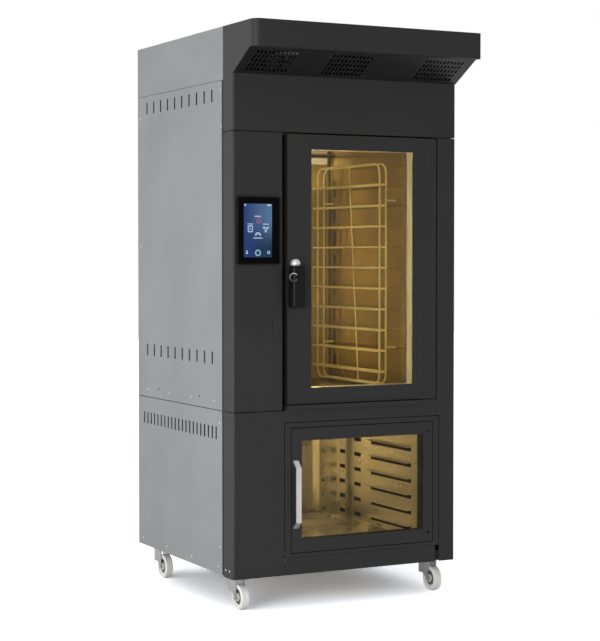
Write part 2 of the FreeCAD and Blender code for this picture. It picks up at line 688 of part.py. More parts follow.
def hood():
    """Canopy shell and its slanted perforated filter."""
    rear = RETURN_DEPTH
    front = -HOOD_OVERHANG
    outer = box(-HALF, HALF, front, rear, Z_HOOD, Z_TOP)
    outer = round_hood(outer, front, 0)
    inner_front = front + SHEET
    inner = box(-INSIDE, INSIDE, inner_front, rear + OVERCUT, Z_HOOD - OVERCUT, Z_TOP - SHEET)
    inner = round_hood(inner, inner_front, SHEET)
    slant = -HOOD_OVERHANG + HOOD_LEDGE
    foot = Z_HOOD - 2 * OVERCUT
    nose = front - OVERCUT
    outline = [(0, foot), (0, Z_HOOD), (slant, Z_LIP), (nose, Z_LIP), (nose, foot)]
    below = prism([V(-HALF - OVERCUT, y, z) for y, z in outline], V(BODY_WIDTH + 2 * OVERCUT, 0, 0))
    ledge = outer.common(box(-HALF, HALF, front, slant, Z_LIP, Z_LIP + SHEET))
    canopy = fuse([outer.cut(inner).cut(below), ledge])
    save("hood_canopy", canopy)
    save("hood_filter", hood_filter(slant))


def upright_at(shape, x, y):
    """Upright edges of a shape that stand on one place."""
    upright = [e for e in shape.Edges if abs(e.tangentAt(e.FirstParameter).z) > 0.99]
    return [e for e in upright if (e.CenterOfMass - V(x, y, e.CenterOfMass.z)).Length < 0.01]


def round_hood(block, y, inset):
    """Hood block with a wide bend at its left front corner and a tight one at its right."""
    x = HALF - inset
    block = block.makeFillet(HOOD_CORNER_R - inset, upright_at(block, -x, y))
    return block.makeFillet(HOOD_FAR_CORNER_R - inset, upright_at(block, x, y))


def bend(panel, side):
    """Panel whose front sheet turns back into its side return through a round bend."""
    panel = panel.makeFillet(BEND_R, upright_at(panel, side * HALF, 0))
    return panel.makeFillet(BEND_R - SHEET, upright_at(panel, side * INSIDE, SHEET))


def hood_filter(slant):
    """Perforated sheet that slopes from the hood's ledge back to the fascia."""
    rise = Z_LIP - Z_HOOD
    length = math.hypot(slant, rise) - 2 * FILTER_PLAY
    half = INSIDE - FILTER_PLAY
    sheet = box(-half, half, 0, length, 0, SHEET)
    group = FILTER_PITCH_X * (FILTER_COLUMNS - 1)
    first_row = (length - FILTER_PITCH_Y * (FILTER_ROWS - 1)) / 2
    slots = []
    outer = INSIDE - FILTER_EDGE - group / 2
    half_w, half_l = FILTER_SLOT_WIDTH / 2, FILTER_SLOT_LENGTH / 2
    for middle in (-outer, FILTER_MIDDLE_SHIFT, outer):
        for column in range(FILTER_COLUMNS):
            x = middle - group / 2 + FILTER_PITCH_X * column
            for row in range(FILTER_ROWS):
                y = first_row + FILTER_PITCH_Y * row
                slots.append(box(x - half_w, x + half_w, y - half_l, y + half_l, -OVERCUT, SHEET + OVERCUT))
    sheet = cut(sheet, slots)
    tilt = math.atan2(rise, -slant)
    sheet.translate(V(0, FILTER_PLAY, 0))
    sheet.rotate(V(0, 0, 0), X_AXIS, -math.degrees(tilt))
    sheet.translate(V(0, slant, Z_LIP))
    return sheet


def fan_wheel(radius, height, disc, blades, hub_r):
    """Radial blower wheel on the z axis, back disc at z = 0 and blades above it."""
    parts = [Part.makeCylinder(radius, disc), Part.makeCylinder(hub_r, height)]
    inner = radius * BLADE_ROOT_SHARE
    for i in range(blades):
        blade = box(inner, radius, -disc / 2, disc / 2, 0, height)
        blade.rotate(V(0, 0, 0), Z_AXIS, 360.0 * i / blades)
        parts.append(blade)
    return fuse(parts)


def hood_fan():
    """Extraction fan under the flue collar."""
    foot = V(0, FLUE_SETBACK, Z_HOOD + SHEET)
    motor_top = Z_HOOD + SHEET + HOOD_MOTOR_HEIGHT
    wheel = fan_wheel(HOOD_FAN_R, HOOD_FAN_HEIGHT, FAN_DISC, FAN_BLADES, FAN_HUB_R)
    length = HOOD_FAN_LIFT + HOOD_SHAFT_REACH
    shaft = Part.makeCylinder(HOOD_SHAFT_R, length, V(0, 0, -length))
    wheel = fuse([wheel, shaft])
    wheel.translate(V(0, FLUE_SETBACK, motor_top + HOOD_FAN_LIFT))
    save("hood_fan_wheel", wheel)
    motor = Part.makeCylinder(HOOD_MOTOR_R, HOOD_MOTOR_HEIGHT, foot)
    seat = V(0, FLUE_SETBACK, motor_top - HOOD_SHAFT_REACH - OVERCUT)
    bore = Part.makeCylinder(HOOD_SHAFT_R + RUNNING_FIT, HOOD_SHAFT_REACH + 2 * OVERCUT, seat)
    return motor.cut(bore)


def front_panels():
    """Dark front sheets: fascia, control panel, right frame, lower cover, surround and kick plate."""
    edge = -HALF + CONTROL_WIDTH
    column = HALF - COLUMN_WIDTH
    fascia = [box(-HALF, HALF, 0, SHEET, Z_FASCIA, Z_HOOD),
              box(edge, column, 0, Y_FLANGE, Z_FASCIA, Z_FASCIA + SHEET)]
    for side in (-1, 1):
        x0, x1 = sorted((side * INSIDE, side * HALF))
        fascia.append(box(x0, x1, 0, RETURN_DEPTH, Z_FASCIA, Z_HOOD))
    save("fascia_panel", bend(bend(fuse(fascia), -1), 1))
    top = Z_FASCIA - SEAM
    foot = Z_BODY - FRONT_DROP
    panel = fuse([box(-HALF, edge, 0, SHEET, Z_OVEN, top),
                  box(-HALF, -INSIDE, 0, RETURN_DEPTH, Z_OVEN, top),
                  box(edge - SHEET, edge, 0, Y_FLANGE, Z_OVEN, top)])
    save("control_panel", bend(panel, -1))
    lower = HALF - LOWER_COLUMN_WIDTH
    header = Z_OVEN - HEADER_HEIGHT
    frame = fuse([box(column, HALF, 0, SHEET, Z_OVEN, top),
                  box(lower, HALF, 0, SHEET, foot, Z_OVEN),
                  box(INSIDE, HALF, 0, RETURN_DEPTH, foot, top),
                  box(column, column + SHEET, 0, Y_FLANGE, Z_OVEN, top),
                  box(-HALF + LOWER_COVER_WIDTH, HALF, 0, SHEET, header, Z_OVEN),
                  box(DOOR_X1 - GUTTER_INSET_RIGHT + SEAM, column, 0, SHEET, Z_OVEN, DOOR_Z0 - SEAM)])
    save("right_frame", bend(frame, 1))
    cover_edge = -HALF + LOWER_COVER_WIDTH
    cover = fuse([box(-HALF, cover_edge, 0, SHEET, foot, Z_OVEN - SEAM),
                  box(-HALF, -INSIDE, 0, RETURN_DEPTH, foot, Z_OVEN - SEAM)])
    save("lower_front_cover", cut(bend(cover, -1), [screw_hole(p, X_AXIS) for p in return_screw_points()]))
    opening = (OPENING_X0, OPENING_X1, OPENING_Z0, OPENING_Z1)
    face = ring_plate((SURROUND_X0, SURROUND_X1, SURROUND_Z0, SURROUND_Z1), opening, 0, SHEET)
    save("proofer_surround", fuse([face, ring_plate(grow(opening, SHEET), opening, 0, PROOFER_FLANGE)]))
    kick_edge = SURROUND_X1 - KICK_INSET_RIGHT
    kick_x0 = cover_edge + KICK_SEAM
    kick_top = SURROUND_Z0 - KICK_SEAM
    save("kick_plate", fuse([box(kick_x0, kick_edge, 0, SHEET, foot, kick_top),
                             box(kick_x0, kick_edge, 0, KICK_FLANGE, kick_top - SHEET, kick_top)]))


def drip_gutter():
    """Shallow trough that stands proud under the oven door."""
    x0 = DOOR_X0 - GUTTER_INSET_LEFT
    x1 = DOOR_X1 - GUTTER_INSET_RIGHT
    z0 = Z_OVEN + GUTTER_LIFT
    trough = box(x0, x1, -GUTTER_PROUD, Y_FLANGE, z0, z0 + GUTTER_HEIGHT)
    hollow = box(x0 + SHEET, x1 - SHEET, -GUTTER_PROUD + SHEET, Y_FLANGE - SHEET,
                 z0 + SHEET, z0 + GUTTER_HEIGHT + OVERCUT)
    save("drip_gutter", trough.cut(hollow))


def oven_chamber():
    """Stainless liner with its door frame, and the mineral wool slabs round it."""
    edge = -HALF + CONTROL_WIDTH
    flange = (edge, HALF - COLUMN_WIDTH, Z_OVEN, Z_FASCIA)
    panels, back = liner(CHAMBER_X0, CHAMBER_X1, CHAMBER_Z0, CHAMBER_Z1, Y_FLANGE, CHAMBER_BACK, flange)
    ends = (CHAMBER_BACK - OVERCUT, MOTOR_FACE + OVERCUT)
    holes = [rod(V(CHAMBER_MID, ends[0], z), V(CHAMBER_MID, ends[1], z), SHAFT_HOLE_R) for z in FAN_HEIGHTS]
    save("oven_liner", cut(back, holes), *panels)
    x0, x1 = CHAMBER_X0 - SHEET, CHAMBER_X1 + SHEET
    z0, z1 = CHAMBER_Z0 - SHEET, CHAMBER_Z1 + SHEET
    y0, y1 = Y_FLANGE + SHEET, CHAMBER_BACK + SHEET
    slabs = [box(x0 - INSULATION, x0, y0, y1, z0, z1), box(x1, x1 + INSULATION, y0, y1, z0, z1),
             box(x0 - INSULATION, x1 + INSULATION, y0, y1, z0 - INSULATION, z0),
             box(x0 - INSULATION, x1 + INSULATION, y0, y1, z1, z1 + INSULATION)]
    back = box(x0 - INSULATION, x1 + INSULATION, y1, MOTOR_FACE, z0 - INSULATION, z1 + INSULATION)
    save("oven_insulation", *slabs, cut(back, holes))


def fan_baffle():
    """Inner back wall: a sheet with round fan inlets and upright outlet slots, held off the real back."""
    x0, x1 = CHAMBER_X0 + BAFFLE_PLAY, CHAMBER_X1 - BAFFLE_PLAY
    z0, z1 = CHAMBER_Z0 + BAFFLE_PLAY, CHAMBER_Z1 - BAFFLE_PLAY
    face_back = BAFFLE_Y + SHEET
    plate = box(x0, x1, BAFFLE_Y, face_back, z0, z1)
    folds = [box(x0, x1, face_back, CHAMBER_BACK, z0, z0 + SHEET),
             box(x0, x1, face_back, CHAMBER_BACK, z1 - SHEET, z1)]
    cut_y0, cut_y1 = BAFFLE_Y - OVERCUT, face_back + OVERCUT
    slots = []
    columns = int(INLET_R // INLET_PITCH)
    for z in FAN_HEIGHTS:
        for i in range(-columns, columns + 1):
            x = CHAMBER_MID + i * INLET_PITCH
            reach = math.sqrt(INLET_R ** 2 - (i * INLET_PITCH) ** 2)
            slots.append(box(x - INLET_SLOT / 2, x + INLET_SLOT / 2, cut_y0, cut_y1, z - reach, z + reach))
    for z in spread(z0 + OUTLET_LENGTH, z1 - 2 * OUTLET_LENGTH, OUTLET_COUNT):
        for x in (x0 + OUTLET_INSET, x1 - OUTLET_INSET):
            slots.append(box(x - OUTLET_SLOT / 2, x + OUTLET_SLOT / 2, cut_y0, cut_y1,
                             z - OUTLET_LENGTH / 2, z + OUTLET_LENGTH / 2))
    save("fan_baffle", cut(plate, slots), *folds)
    lamp_x1 = CHAMBER_X1 - LAMP_SIDE_GAP
    lamp_z1 = CHAMBER_Z1 - LAMP_TOP_GAP
    lamp = box(lamp_x1 - LAMP_WIDTH, lamp_x1, BAFFLE_Y - LAMP_DEPTH, BAFFLE_Y,
               lamp_z1 - LAMP_HEIGHT, lamp_z1)
    save("oven_lamp", lamp)


def convection_fans():
    """Two fan wheels on shafts, the ring heaters round them and the motors behind the insulation."""
    wheel = fan_wheel(FAN_R, FAN_WIDTH, FAN_DISC, FAN_BLADES, FAN_HUB_R)
    wheel.rotate(V(0, 0, 0), X_AXIS, 90)
    wheel_back = CHAMBER_BACK - FAN_BACK_GAP
    shaft = rod(V(0, 0, 0), V(0, MOTOR_FACE - wheel_back + MOTOR_LENGTH / 2, 0), FAN_SHAFT_R)
    wheel = fuse([wheel, shaft])
    ring_y = wheel_back - FAN_WIDTH / 2
    heaters = []
    motors = []
    for name, z in zip(("upper", "lower"), FAN_HEIGHTS):
        hub = V(CHAMBER_MID, wheel_back, z)
        placed = wheel.copy()
        placed.translate(hub)
        save("convection_fan_" + name, placed)
        leg_z = z - math.sqrt(HEATER_RING_R ** 2 - HEATER_LEG_SPREAD ** 2)
        legs = [rod(V(x, ring_y, leg_z), V(x, CHAMBER_BACK, leg_z), HEATER_LEG_R)
                for x in (CHAMBER_MID - HEATER_LEG_SPREAD, CHAMBER_MID + HEATER_LEG_SPREAD)]
        ring = Part.makeTorus(HEATER_RING_R, HEATER_TUBE_R, V(CHAMBER_MID, ring_y, z), Y_AXIS)
        heaters.append(fuse([ring] + legs))
        half = MOTOR_FLANGE / 2
        plate = box(CHAMBER_MID - half, CHAMBER_MID + half, MOTOR_FACE, MOTOR_FACE + MOTOR_FLANGE_THICK,
                    z - half, z + half)
        body = rod(V(CHAMBER_MID, MOTOR_FACE, z), V(CHAMBER_MID, MOTOR_FACE + MOTOR_LENGTH, z), MOTOR_R)
        seat = rod(V(CHAMBER_MID, MOTOR_FACE - OVERCUT, z),
                   V(CHAMBER_MID, MOTOR_FACE + MOTOR_LENGTH / 2 + OVERCUT, z), FAN_SHAFT_R + RUNNING_FIT)
        motors.append(fuse([plate, body]).cut(seat))
    save("ring_heaters", *heaters)
    save("fan_motors", *motors, hood_fan())


def tray_racks():
    """Wire side racks: two upright loops of runs and bends each, with a wire runner at every level."""
    inner_x = CHAMBER_MID + TRAY_WIDTH / 2 + TRAY_PLAY
    outer_x = inner_x + LOOP_SPACING
    y0 = Y_FLANGE + RACK_FRONT_GAP
    y1 = y0 + RACK_LENGTH
    z0 = CHAMBER_Z0 + RACK_FLOOR_GAP
    z1 = z0 + RACK_HEIGHT
    upright = (Y_AXIS, Z_AXIS, RACK_LENGTH, RACK_HEIGHT, RACK_CORNER_R, WIRE_R)
    inner = wire_pieces(V(inner_x, y0, z0), *upright)
    outer = wire_pieces(V(outer_x, y0, z0), *upright)
    brace = rod(V(inner_x, y0 + RACK_LENGTH * BRACE_FOOT_SHARE, z0),
                V(inner_x, y0 + RACK_LENGTH * BRACE_TOP_SHARE, z1), BRACE_R)
    studs = [rod(V(outer_x, y, z), V(CHAMBER_X1, y, z), RACK_STUD_R)
             for y in (y0, y1) for z in (z0 + RACK_STUD_INSET, z1 - RACK_STUD_INSET)]
    weld = 2 * WIRE_R + WELD_GAP
    leg_x = CHAMBER_MID + TRAY_WIDTH / 2 - TRAY_REST
    runner = fuse(wire_pieces(V(leg_x, y0 - weld, z0 + RACK_FIRST_LEVEL), X_AXIS, Y_AXIS,
                              outer_x - weld - leg_x, RACK_LENGTH + 2 * weld, RUNNER_CORNER_R, WIRE_R))
    solids = inner + outer + [cut(brace, inner)] + [cut(stud, outer) for stud in studs]
    for level in range(RACK_LEVELS):
        step = runner.copy()
        step.translate(V(0, 0, RACK_PITCH * level))
        solids.append(step)
    save("tray_rack_right", *solids)
    save("tray_rack_left", *[mirror_x(s, CHAMBER_MID) for s in solids])


def oven_door():
    """Hinged oven door: skin with pin blocks, inner cover, two panes and the seal."""
    thick = OVEN_DOOR_THICK
    skin = door_pan(DOOR_X0, DOOR_X1, DOOR_Z0, DOOR_Z1, thick, WINDOW)
    line_x = DOOR_X1 - STILE_LINE_INSET
    line = box(line_x, line_x + STILE_LINE_WIDTH, -OVERCUT, STILE_LINE_DEPTH,
               DOOR_Z0 - OVERCUT, DOOR_Z1 + OVERCUT)
    boss_x, boss_z = latch_axis()
    spindle_hole = rod(V(boss_x, -OVERCUT, boss_z), V(boss_x, SHEET + OVERCUT, boss_z),
                       SPINDLE_R + RUNNING_FIT)
    holes = [Part.makeCylinder(PIN_R + RUNNING_FIT, PIN_REACH + 2 * OVERCUT, V(PIN_X, PIN_Y, z))
             for z in (DOOR_Z0 - OVERCUT, DOOR_Z1 - PIN_REACH - OVERCUT)]
    skin = cut(skin, [line, spindle_hole] + holes)
    x1 = DOOR_X1 - SHEET
    blocks = [cut(box(x1 - PIN_BLOCK, x1, SHEET, SHEET + PIN_BLOCK, z, z + PIN_BLOCK), holes)
              for z in (DOOR_Z0 + SHEET, DOOR_Z1 - SHEET - PIN_BLOCK)]
    save("oven_door_skin", skin, *blocks)
    outer_back = SHEET + OVEN_GLASS
    inner_front = thick - SHEET - OVEN_GLASS
    save("oven_door_outer_glass", pane(WINDOW, SHEET, outer_back))
    save("oven_door_inner_glass", pane(WINDOW, inner_front, thick - SHEET))
    back = door_back(DOOR_X0, DOOR_X1, DOOR_Z0, DOOR_Z1, thick, WINDOW)
    save("oven_door_inner", back, door_reveal(WINDOW, outer_back, inner_front))
    mouth = (CHAMBER_X0, CHAMBER_X1, CHAMBER_Z0, CHAMBER_Z1)
    seal = gasket(mouth, OVEN_GASKET_OFFSET, OVEN_GASKET_WIDTH, thick, Y_FLANGE - AIR_GAP)
    save("oven_door_gasket", seal)


def latch_axis():
    """Place (x, z) of the latch spindle on the oven door."""
    return DOOR_X0 + BOSS_INSET, DOOR_Z0 + LEVER_RISE + LEVER_HEIGHT + BOSS_ABOVE_LEVER


def latch():
    """Turning latch: grip, domed boss on the spindle, lock ring, and the keeper beside the door."""
    boss_x, boss_z = latch_axis()
    middle = V(boss_x, 0, boss_z)
    face = middle - Y_AXIS * AIR_GAP
    base = rod(face, middle - Y_AXIS * BOSS_BASE, BOSS_R)
    ball_r = (BOSS_R ** 2 + BOSS_DOME ** 2) / (2 * BOSS_DOME)
    ball = Part.makeSphere(ball_r, middle - Y_AXIS * (BOSS_BASE + BOSS_DOME - ball_r))
    dome = ball.common(rod(middle - Y_AXIS * BOSS_BASE, middle - Y_AXIS * (BOSS_BASE + BOSS_DOME), BOSS_R))
    spindle = rod(face, middle + Y_AXIS * SPINDLE_LENGTH, SPINDLE_R)
    washer_y = SHEET + AIR_GAP
    washer = rod(middle + Y_AXIS * washer_y, middle + Y_AXIS * (washer_y + WASHER_THICK), WASHER_R)
    boss = fuse([base, dome, spindle, washer])
    x0 = DOOR_X0 - LEVER_OVERHANG
    y0 = -LEVER_STANDOFF - LEVER_DEPTH
    z0 = DOOR_Z0 + LEVER_RISE
    grip = box(x0, x0 + LEVER_WIDTH, y0, -LEVER_STANDOFF, z0, z0 + LEVER_HEIGHT)
    grip = grip.makeFillet(LEVER_ROUND, grip.Edges)
    pocket = rod(middle + Y_AXIS, middle - Y_AXIS * (BOSS_BASE + BOSS_DOME + AIR_GAP), BOSS_R + AIR_GAP)
    outward = V(-1, -1, 0).normalize()
    seat = V(x0 + LOCK_RING_INSET, y0 + LOCK_RING_INSET, z0 + LEVER_HEIGHT - LOCK_RING_DROP)
    proud = LOCK_RING_INSET * math.sqrt(2) + LOCK_RING_PROUD
    foot = seat - outward * LOCK_RING_SINK
    tip = seat + outward * proud
    ring = rod(foot, tip, LOCK_RING_R).cut(rod(foot - outward, tip + outward, LOCK_RING_BORE))
    across = Z_AXIS.cross(outward)
    middle = (foot + tip) * 0.5
    mouth = rod(middle, middle + across * 2 * LOCK_RING_R, LOCK_RING_MOUTH / 2)
    ring = ring.cut(mouth)
    groove = rod(foot, tip + outward * LOCK_RING_R, LOCK_RING_R + WELD_GAP)
    groove = groove.cut(rod(foot - outward, tip + outward * LOCK_RING_R, LOCK_RING_BORE - WELD_GAP))
    save("latch_lever", max(cut(grip, [pocket, groove]).Solids, key=lambda s: s.Volume))
    save("latch_boss", boss, ring)
    wall = -HALF + CONTROL_WIDTH
    save("latch_keeper", box(wall, wall + KEEPER_WIDTH, KEEPER_SETBACK, KEEPER_SETBACK + KEEPER_DEPTH,
                             boss_z - KEEPER_HEIGHT / 2, boss_z + KEEPER_HEIGHT / 2))


def hinge_pins():
    """Pins that both doors turn on; the oven door's sit on plates fixed to the right frame."""
    x1 = HALF - COLUMN_WIDTH
    pins = []
    plate_low = box(x1 - BRACKET_REACH, x1, SHEET, BRACKET_DEPTH,
                    DOOR_Z0 - SEAM - BRACKET_THICK, DOOR_Z0 - SEAM)
    pin_low = Part.makeCylinder(PIN_R, SEAM + PIN_REACH, V(PIN_X, PIN_Y, DOOR_Z0 - SEAM))
    plate_high = box(x1 - BRACKET_REACH, x1, SHEET, BRACKET_DEPTH, Z_FASCIA - BRACKET_THICK, Z_FASCIA)
    pin_high = Part.makeCylinder(PIN_R, Z_FASCIA - BRACKET_THICK - DOOR_Z1 + PIN_REACH,
                                 V(PIN_X, PIN_Y, DOOR_Z1 - PIN_REACH))
    pins += [fuse([plate_low, pin_low]), fuse([plate_high, pin_high])]
    reach = PROOFER_DOOR_GAP + PROOFER_PIN_REACH
    for z in (OPENING_Z0, OPENING_Z1 - reach):
        pins.append(Part.makeCylinder(PROOFER_PIN_R, reach, V(PROOFER_PIN_X, PROOFER_PIN_Y, z)))
    save("hinge_pins", *pins)


def controls():
    """Touch panel on the control panel, its circuit board and the power box behind."""
    x0 = -HALF + TABLET_MARGIN_LEFT
    z0 = Z_OVEN + TABLET_RISE
    case = box(x0, x0 + TABLET_WIDTH, -TABLET_THICK, 0, z0, z0 + TABLET_HEIGHT)
    case = round_edges(case, TABLET_CORNER_R, Y_AXIS)
    rim = TABLET_RIM
    glass = box(x0 + rim, x0 + TABLET_WIDTH - rim, -TABLET_THICK, TABLET_GLASS - TABLET_THICK,
                z0 + rim, z0 + TABLET_HEIGHT - rim)
    glass = round_edges(glass, TABLET_CORNER_R - rim, Y_AXIS)
    save("touch_panel_case", case.cut(glass))
    save("touch_panel_glass", glass)
    mid_x = x0 + TABLET_WIDTH / 2
    mid_z = z0 + TABLET_HEIGHT / 2
    bx = BOARD_WIDTH / 2
    bz = BOARD_HEIGHT / 2
    board_y = SHEET + BOARD_POST
    board = [box(mid_x - bx, mid_x + bx, board_y, board_y + BOARD_THICK, mid_z - bz, mid_z + bz)]
    for dx in (-bx + BOARD_POST_INSET, bx - BOARD_POST_INSET):
        for dz in (-bz + BOARD_POST_INSET, bz - BOARD_POST_INSET):
            foot = V(mid_x + dx, SHEET, mid_z + dz)
            board.append(rod(foot, foot + Y_AXIS * BOARD_POST, BOARD_POST_R))
    save("control_board", fuse(board))
    px0 = -INSIDE + POWER_BOX_SIDE_GAP
    px1 = px0 + POWER_BOX_WIDTH
    py0 = POWER_BOX_SETBACK
    py1 = py0 + POWER_BOX_DEPTH
    pz1 = MID_RAIL_TOP + POWER_BOX_HEIGHT
    case = box(px0, px1, py0, py1, MID_RAIL_TOP, pz1)
    hollow = box(px0 + SHEET, px1 + OVERCUT, py0 + SHEET, py1 - SHEET, MID_RAIL_TOP + SHEET, pz1 - SHEET)
    save("power_box", case.cut(hollow))


def proofer_cabinet():
    """Proofer liner, tray runners on both walls, air duct on the back wall and the humidifier pan."""
    flange = (SURROUND_X0, SURROUND_X1, SURROUND_Z0, SURROUND_Z1)
    panels, back = liner(PROOFER_X0, PROOFER_X1, PROOFER_Z0, PROOFER_Z1, PROOFER_FLANGE, PROOFER_BACK, flange)
    y0 = PROOFER_FLANGE + RUNNER_FRONT_GAP
    y1 = y0 + RUNNER_LENGTH
    runners = []
    slots = []
    for level in range(PROOFER_LEVELS):
        z = PROOFER_Z0 + PROOFER_FIRST_LEVEL + PROOFER_PITCH * level
        angle = [box(PROOFER_X1 - SHEET, PROOFER_X1, y0, y1, z + SHEET, z + RUNNER_WEB),
                 box(PROOFER_X1 - RUNNER_FLANGE, PROOFER_X1, y0, y1, z, z + SHEET)]
        runners += angle + [mirror_x(plate, (PROOFER_X0 + PROOFER_X1) / 2) for plate in angle]
        top = z - AIR_SLOT_DROP
        slots += [box(PROOFER_X0 - SHEET - OVERCUT, PROOFER_X1 + SHEET + OVERCUT, y0 + near, y0 + far,
                      top - AIR_SLOT_HEIGHT, top) for near, far in AIR_SLOT_RUNS]
    save("proofer_runners", *runners)
    save("proofer_liner", back, *[cut(wall, slots) for wall in panels[:2]], *panels[2:])
    dx1 = PROOFER_X1 - DUCT_INSET
    dx0 = dx1 - DUCT_WIDTH
    face = PROOFER_BACK - DUCT_DEPTH
    duct = box(dx0, dx1, face, PROOFER_BACK, PROOFER_Z0, PROOFER_Z1)
    bore = box(dx0 + SHEET, dx1 - SHEET, face + SHEET, PROOFER_BACK + OVERCUT,
               PROOFER_Z0 - OVERCUT, PROOFER_Z1 + OVERCUT)
    mid = (dx0 + dx1) / 2
    half = DUCT_HOLE / 2
    first = PROOFER_Z0 + PROOFER_FIRST_LEVEL
    mouths = [box(mid - half, mid + half, face - OVERCUT, face + SHEET + OVERCUT, z - half, z + half)
              for z in spread(first, first + PROOFER_SPAN, PROOFER_LEVELS)]
    save("proofer_duct", cut(duct, [bore] + mouths))
    mid = (PROOFER_X0 + PROOFER_X1) / 2
    half = PAN_WIDTH / 2
    py1 = PROOFER_BACK - PAN_BACK_GAP
    py0 = py1 - PAN_DEPTH
    pan = box(mid - half, mid + half, py0, py1, PROOFER_Z0, PROOFER_Z0 + PAN_HEIGHT)
    pan = pan.cut(box(mid - half + SHEET, mid + half - SHEET, py0 + SHEET, py1 - SHEET,
                      PROOFER_Z0 + SHEET, PROOFER_Z0 + PAN_HEIGHT + OVERCUT))
    rod_z = PROOFER_Z0 + PAN_HEIGHT / 2
    rods = [rod(V(mid - half + SHEET, y, rod_z), V(mid + half - SHEET, y, rod_z), PAN_ROD_R)
            for y in (py0 + PAN_DEPTH / 3, py1 - PAN_DEPTH / 3)]
    save("humidifier_pan", pan, *rods)


def proofer_door():
    """Hinged proofer door: skin, glass, seal, strap handle and two screws by the hinge."""
    thick = PROOFER_DOOR_THICK
    window = PROOFER_WINDOW
    reach = PROOFER_PIN_REACH
    depth = reach + 2 * OVERCUT
    holes = [Part.makeCylinder(PROOFER_PIN_R + RUNNING_FIT, depth, V(PROOFER_PIN_X, PROOFER_PIN_Y, z))
             for z in (PDOOR_Z0 - OVERCUT, PDOOR_Z1 - reach - OVERCUT)]
    screw_x = PDOOR_X1 - DOOR_SCREW_INSET_X
    points = [V(screw_x, 0, z) for z in (PDOOR_Z0 + DOOR_SCREW_INSET_Z, PDOOR_Z1 - DOOR_SCREW_INSET_Z)]
    sockets = [rod(p - Y_AXIS, p + Y_AXIS * (SHEET + OVERCUT), DOOR_SCREW_R + SCREW_PLAY) for p in points]
    skin = cut(door_pan(PDOOR_X0, PDOOR_X1, PDOOR_Z0, PDOOR_Z1, thick, window), holes + sockets)
    x1 = PDOOR_X1 - SHEET
    blocks = [cut(box(x1 - PIN_BLOCK, x1, SHEET, SHEET + PIN_BLOCK, z, z + PIN_BLOCK), holes)
              for z in (PDOOR_Z0 + SHEET, PDOOR_Z1 - SHEET - PIN_BLOCK)]
    glass_back = SHEET + PROOFER_GLASS
    back = door_back(PDOOR_X0, PDOOR_X1, PDOOR_Z0, PDOOR_Z1, thick, window)
    save("proofer_door_skin", skin, *blocks)
    save("proofer_door_inner", back, door_reveal(window, glass_back, thick - SHEET))
    save("proofer_door_glass", pane(window, SHEET, glass_back))
    mouth = (PROOFER_X0, PROOFER_X1, PROOFER_Z0, PROOFER_Z1)
    seal = gasket(mouth, PROOFER_GASKET_OFFSET, PROOFER_GASKET_WIDTH, thick, PROOFER_FLANGE - AIR_GAP)
    save("proofer_door_gasket", seal)
    screws = [rod(p - Y_AXIS * DOOR_SCREW_PROUD, p + Y_AXIS * SHEET, DOOR_SCREW_R) for p in points]
    save("proofer_door_screws", *screws)
    save("proofer_door_handle", strap_handle())


def strap_handle():
    """Flat strap bent away from the door at both ends."""
    x0 = PDOOR_X0 + HANDLE_INSET
    z0 = PDOOR_Z0 + HANDLE_RISE
    z1 = z0 + HANDLE_LENGTH
    out = -HANDLE_STANDOFF
    lean = HANDLE_STANDOFF
    foot = HANDLE_THICK * math.sqrt(2)
    nip = HANDLE_THICK * math.tan(math.pi / 8)
    inner = out + HANDLE_THICK
    outline = [(0, z0), (out, z0 + lean), (out, z1 - lean), (0, z1), (0, z1 - foot),
               (inner, z1 - lean - nip), (inner, z0 + lean + nip), (0, z0 + foot)]
    return prism([V(x0, y, z) for y, z in outline], V(HANDLE_WIDTH, 0, 0))


def castor_wheel():
    """Nylon wheel on the x axis, dished on both faces round its hub."""
    half = WHEEL_WIDTH / 2
    tread = rod(V(-half, 0, 0), V(half, 0, 0), WHEEL_R)
    rims = [e for e in tread.Edges if len(e.Vertexes) == 1 and e.Length > WHEEL_R]
    tread = tread.makeFillet(WHEEL_ROUND, rims)
    dishes = []
    for side in (-1, 1):
        floor = V(side * (half - WHEEL_DISH_DEPTH), 0, 0)
        dishes.append(rod(floor, V(side * (half + OVERCUT), 0, 0), WHEEL_DISH_R))
    hub = rod(V(-WHEEL_HUB_WIDTH / 2, 0, 0), V(WHEEL_HUB_WIDTH / 2, 0, 0), WHEEL_HUB_R)
    bore = rod(V(-WHEEL_HUB_WIDTH, 0, 0), V(WHEEL_HUB_WIDTH, 0, 0), AXLE_R + RUNNING_FIT)
    return fuse([cut(tread, dishes), hub]).cut(bore)


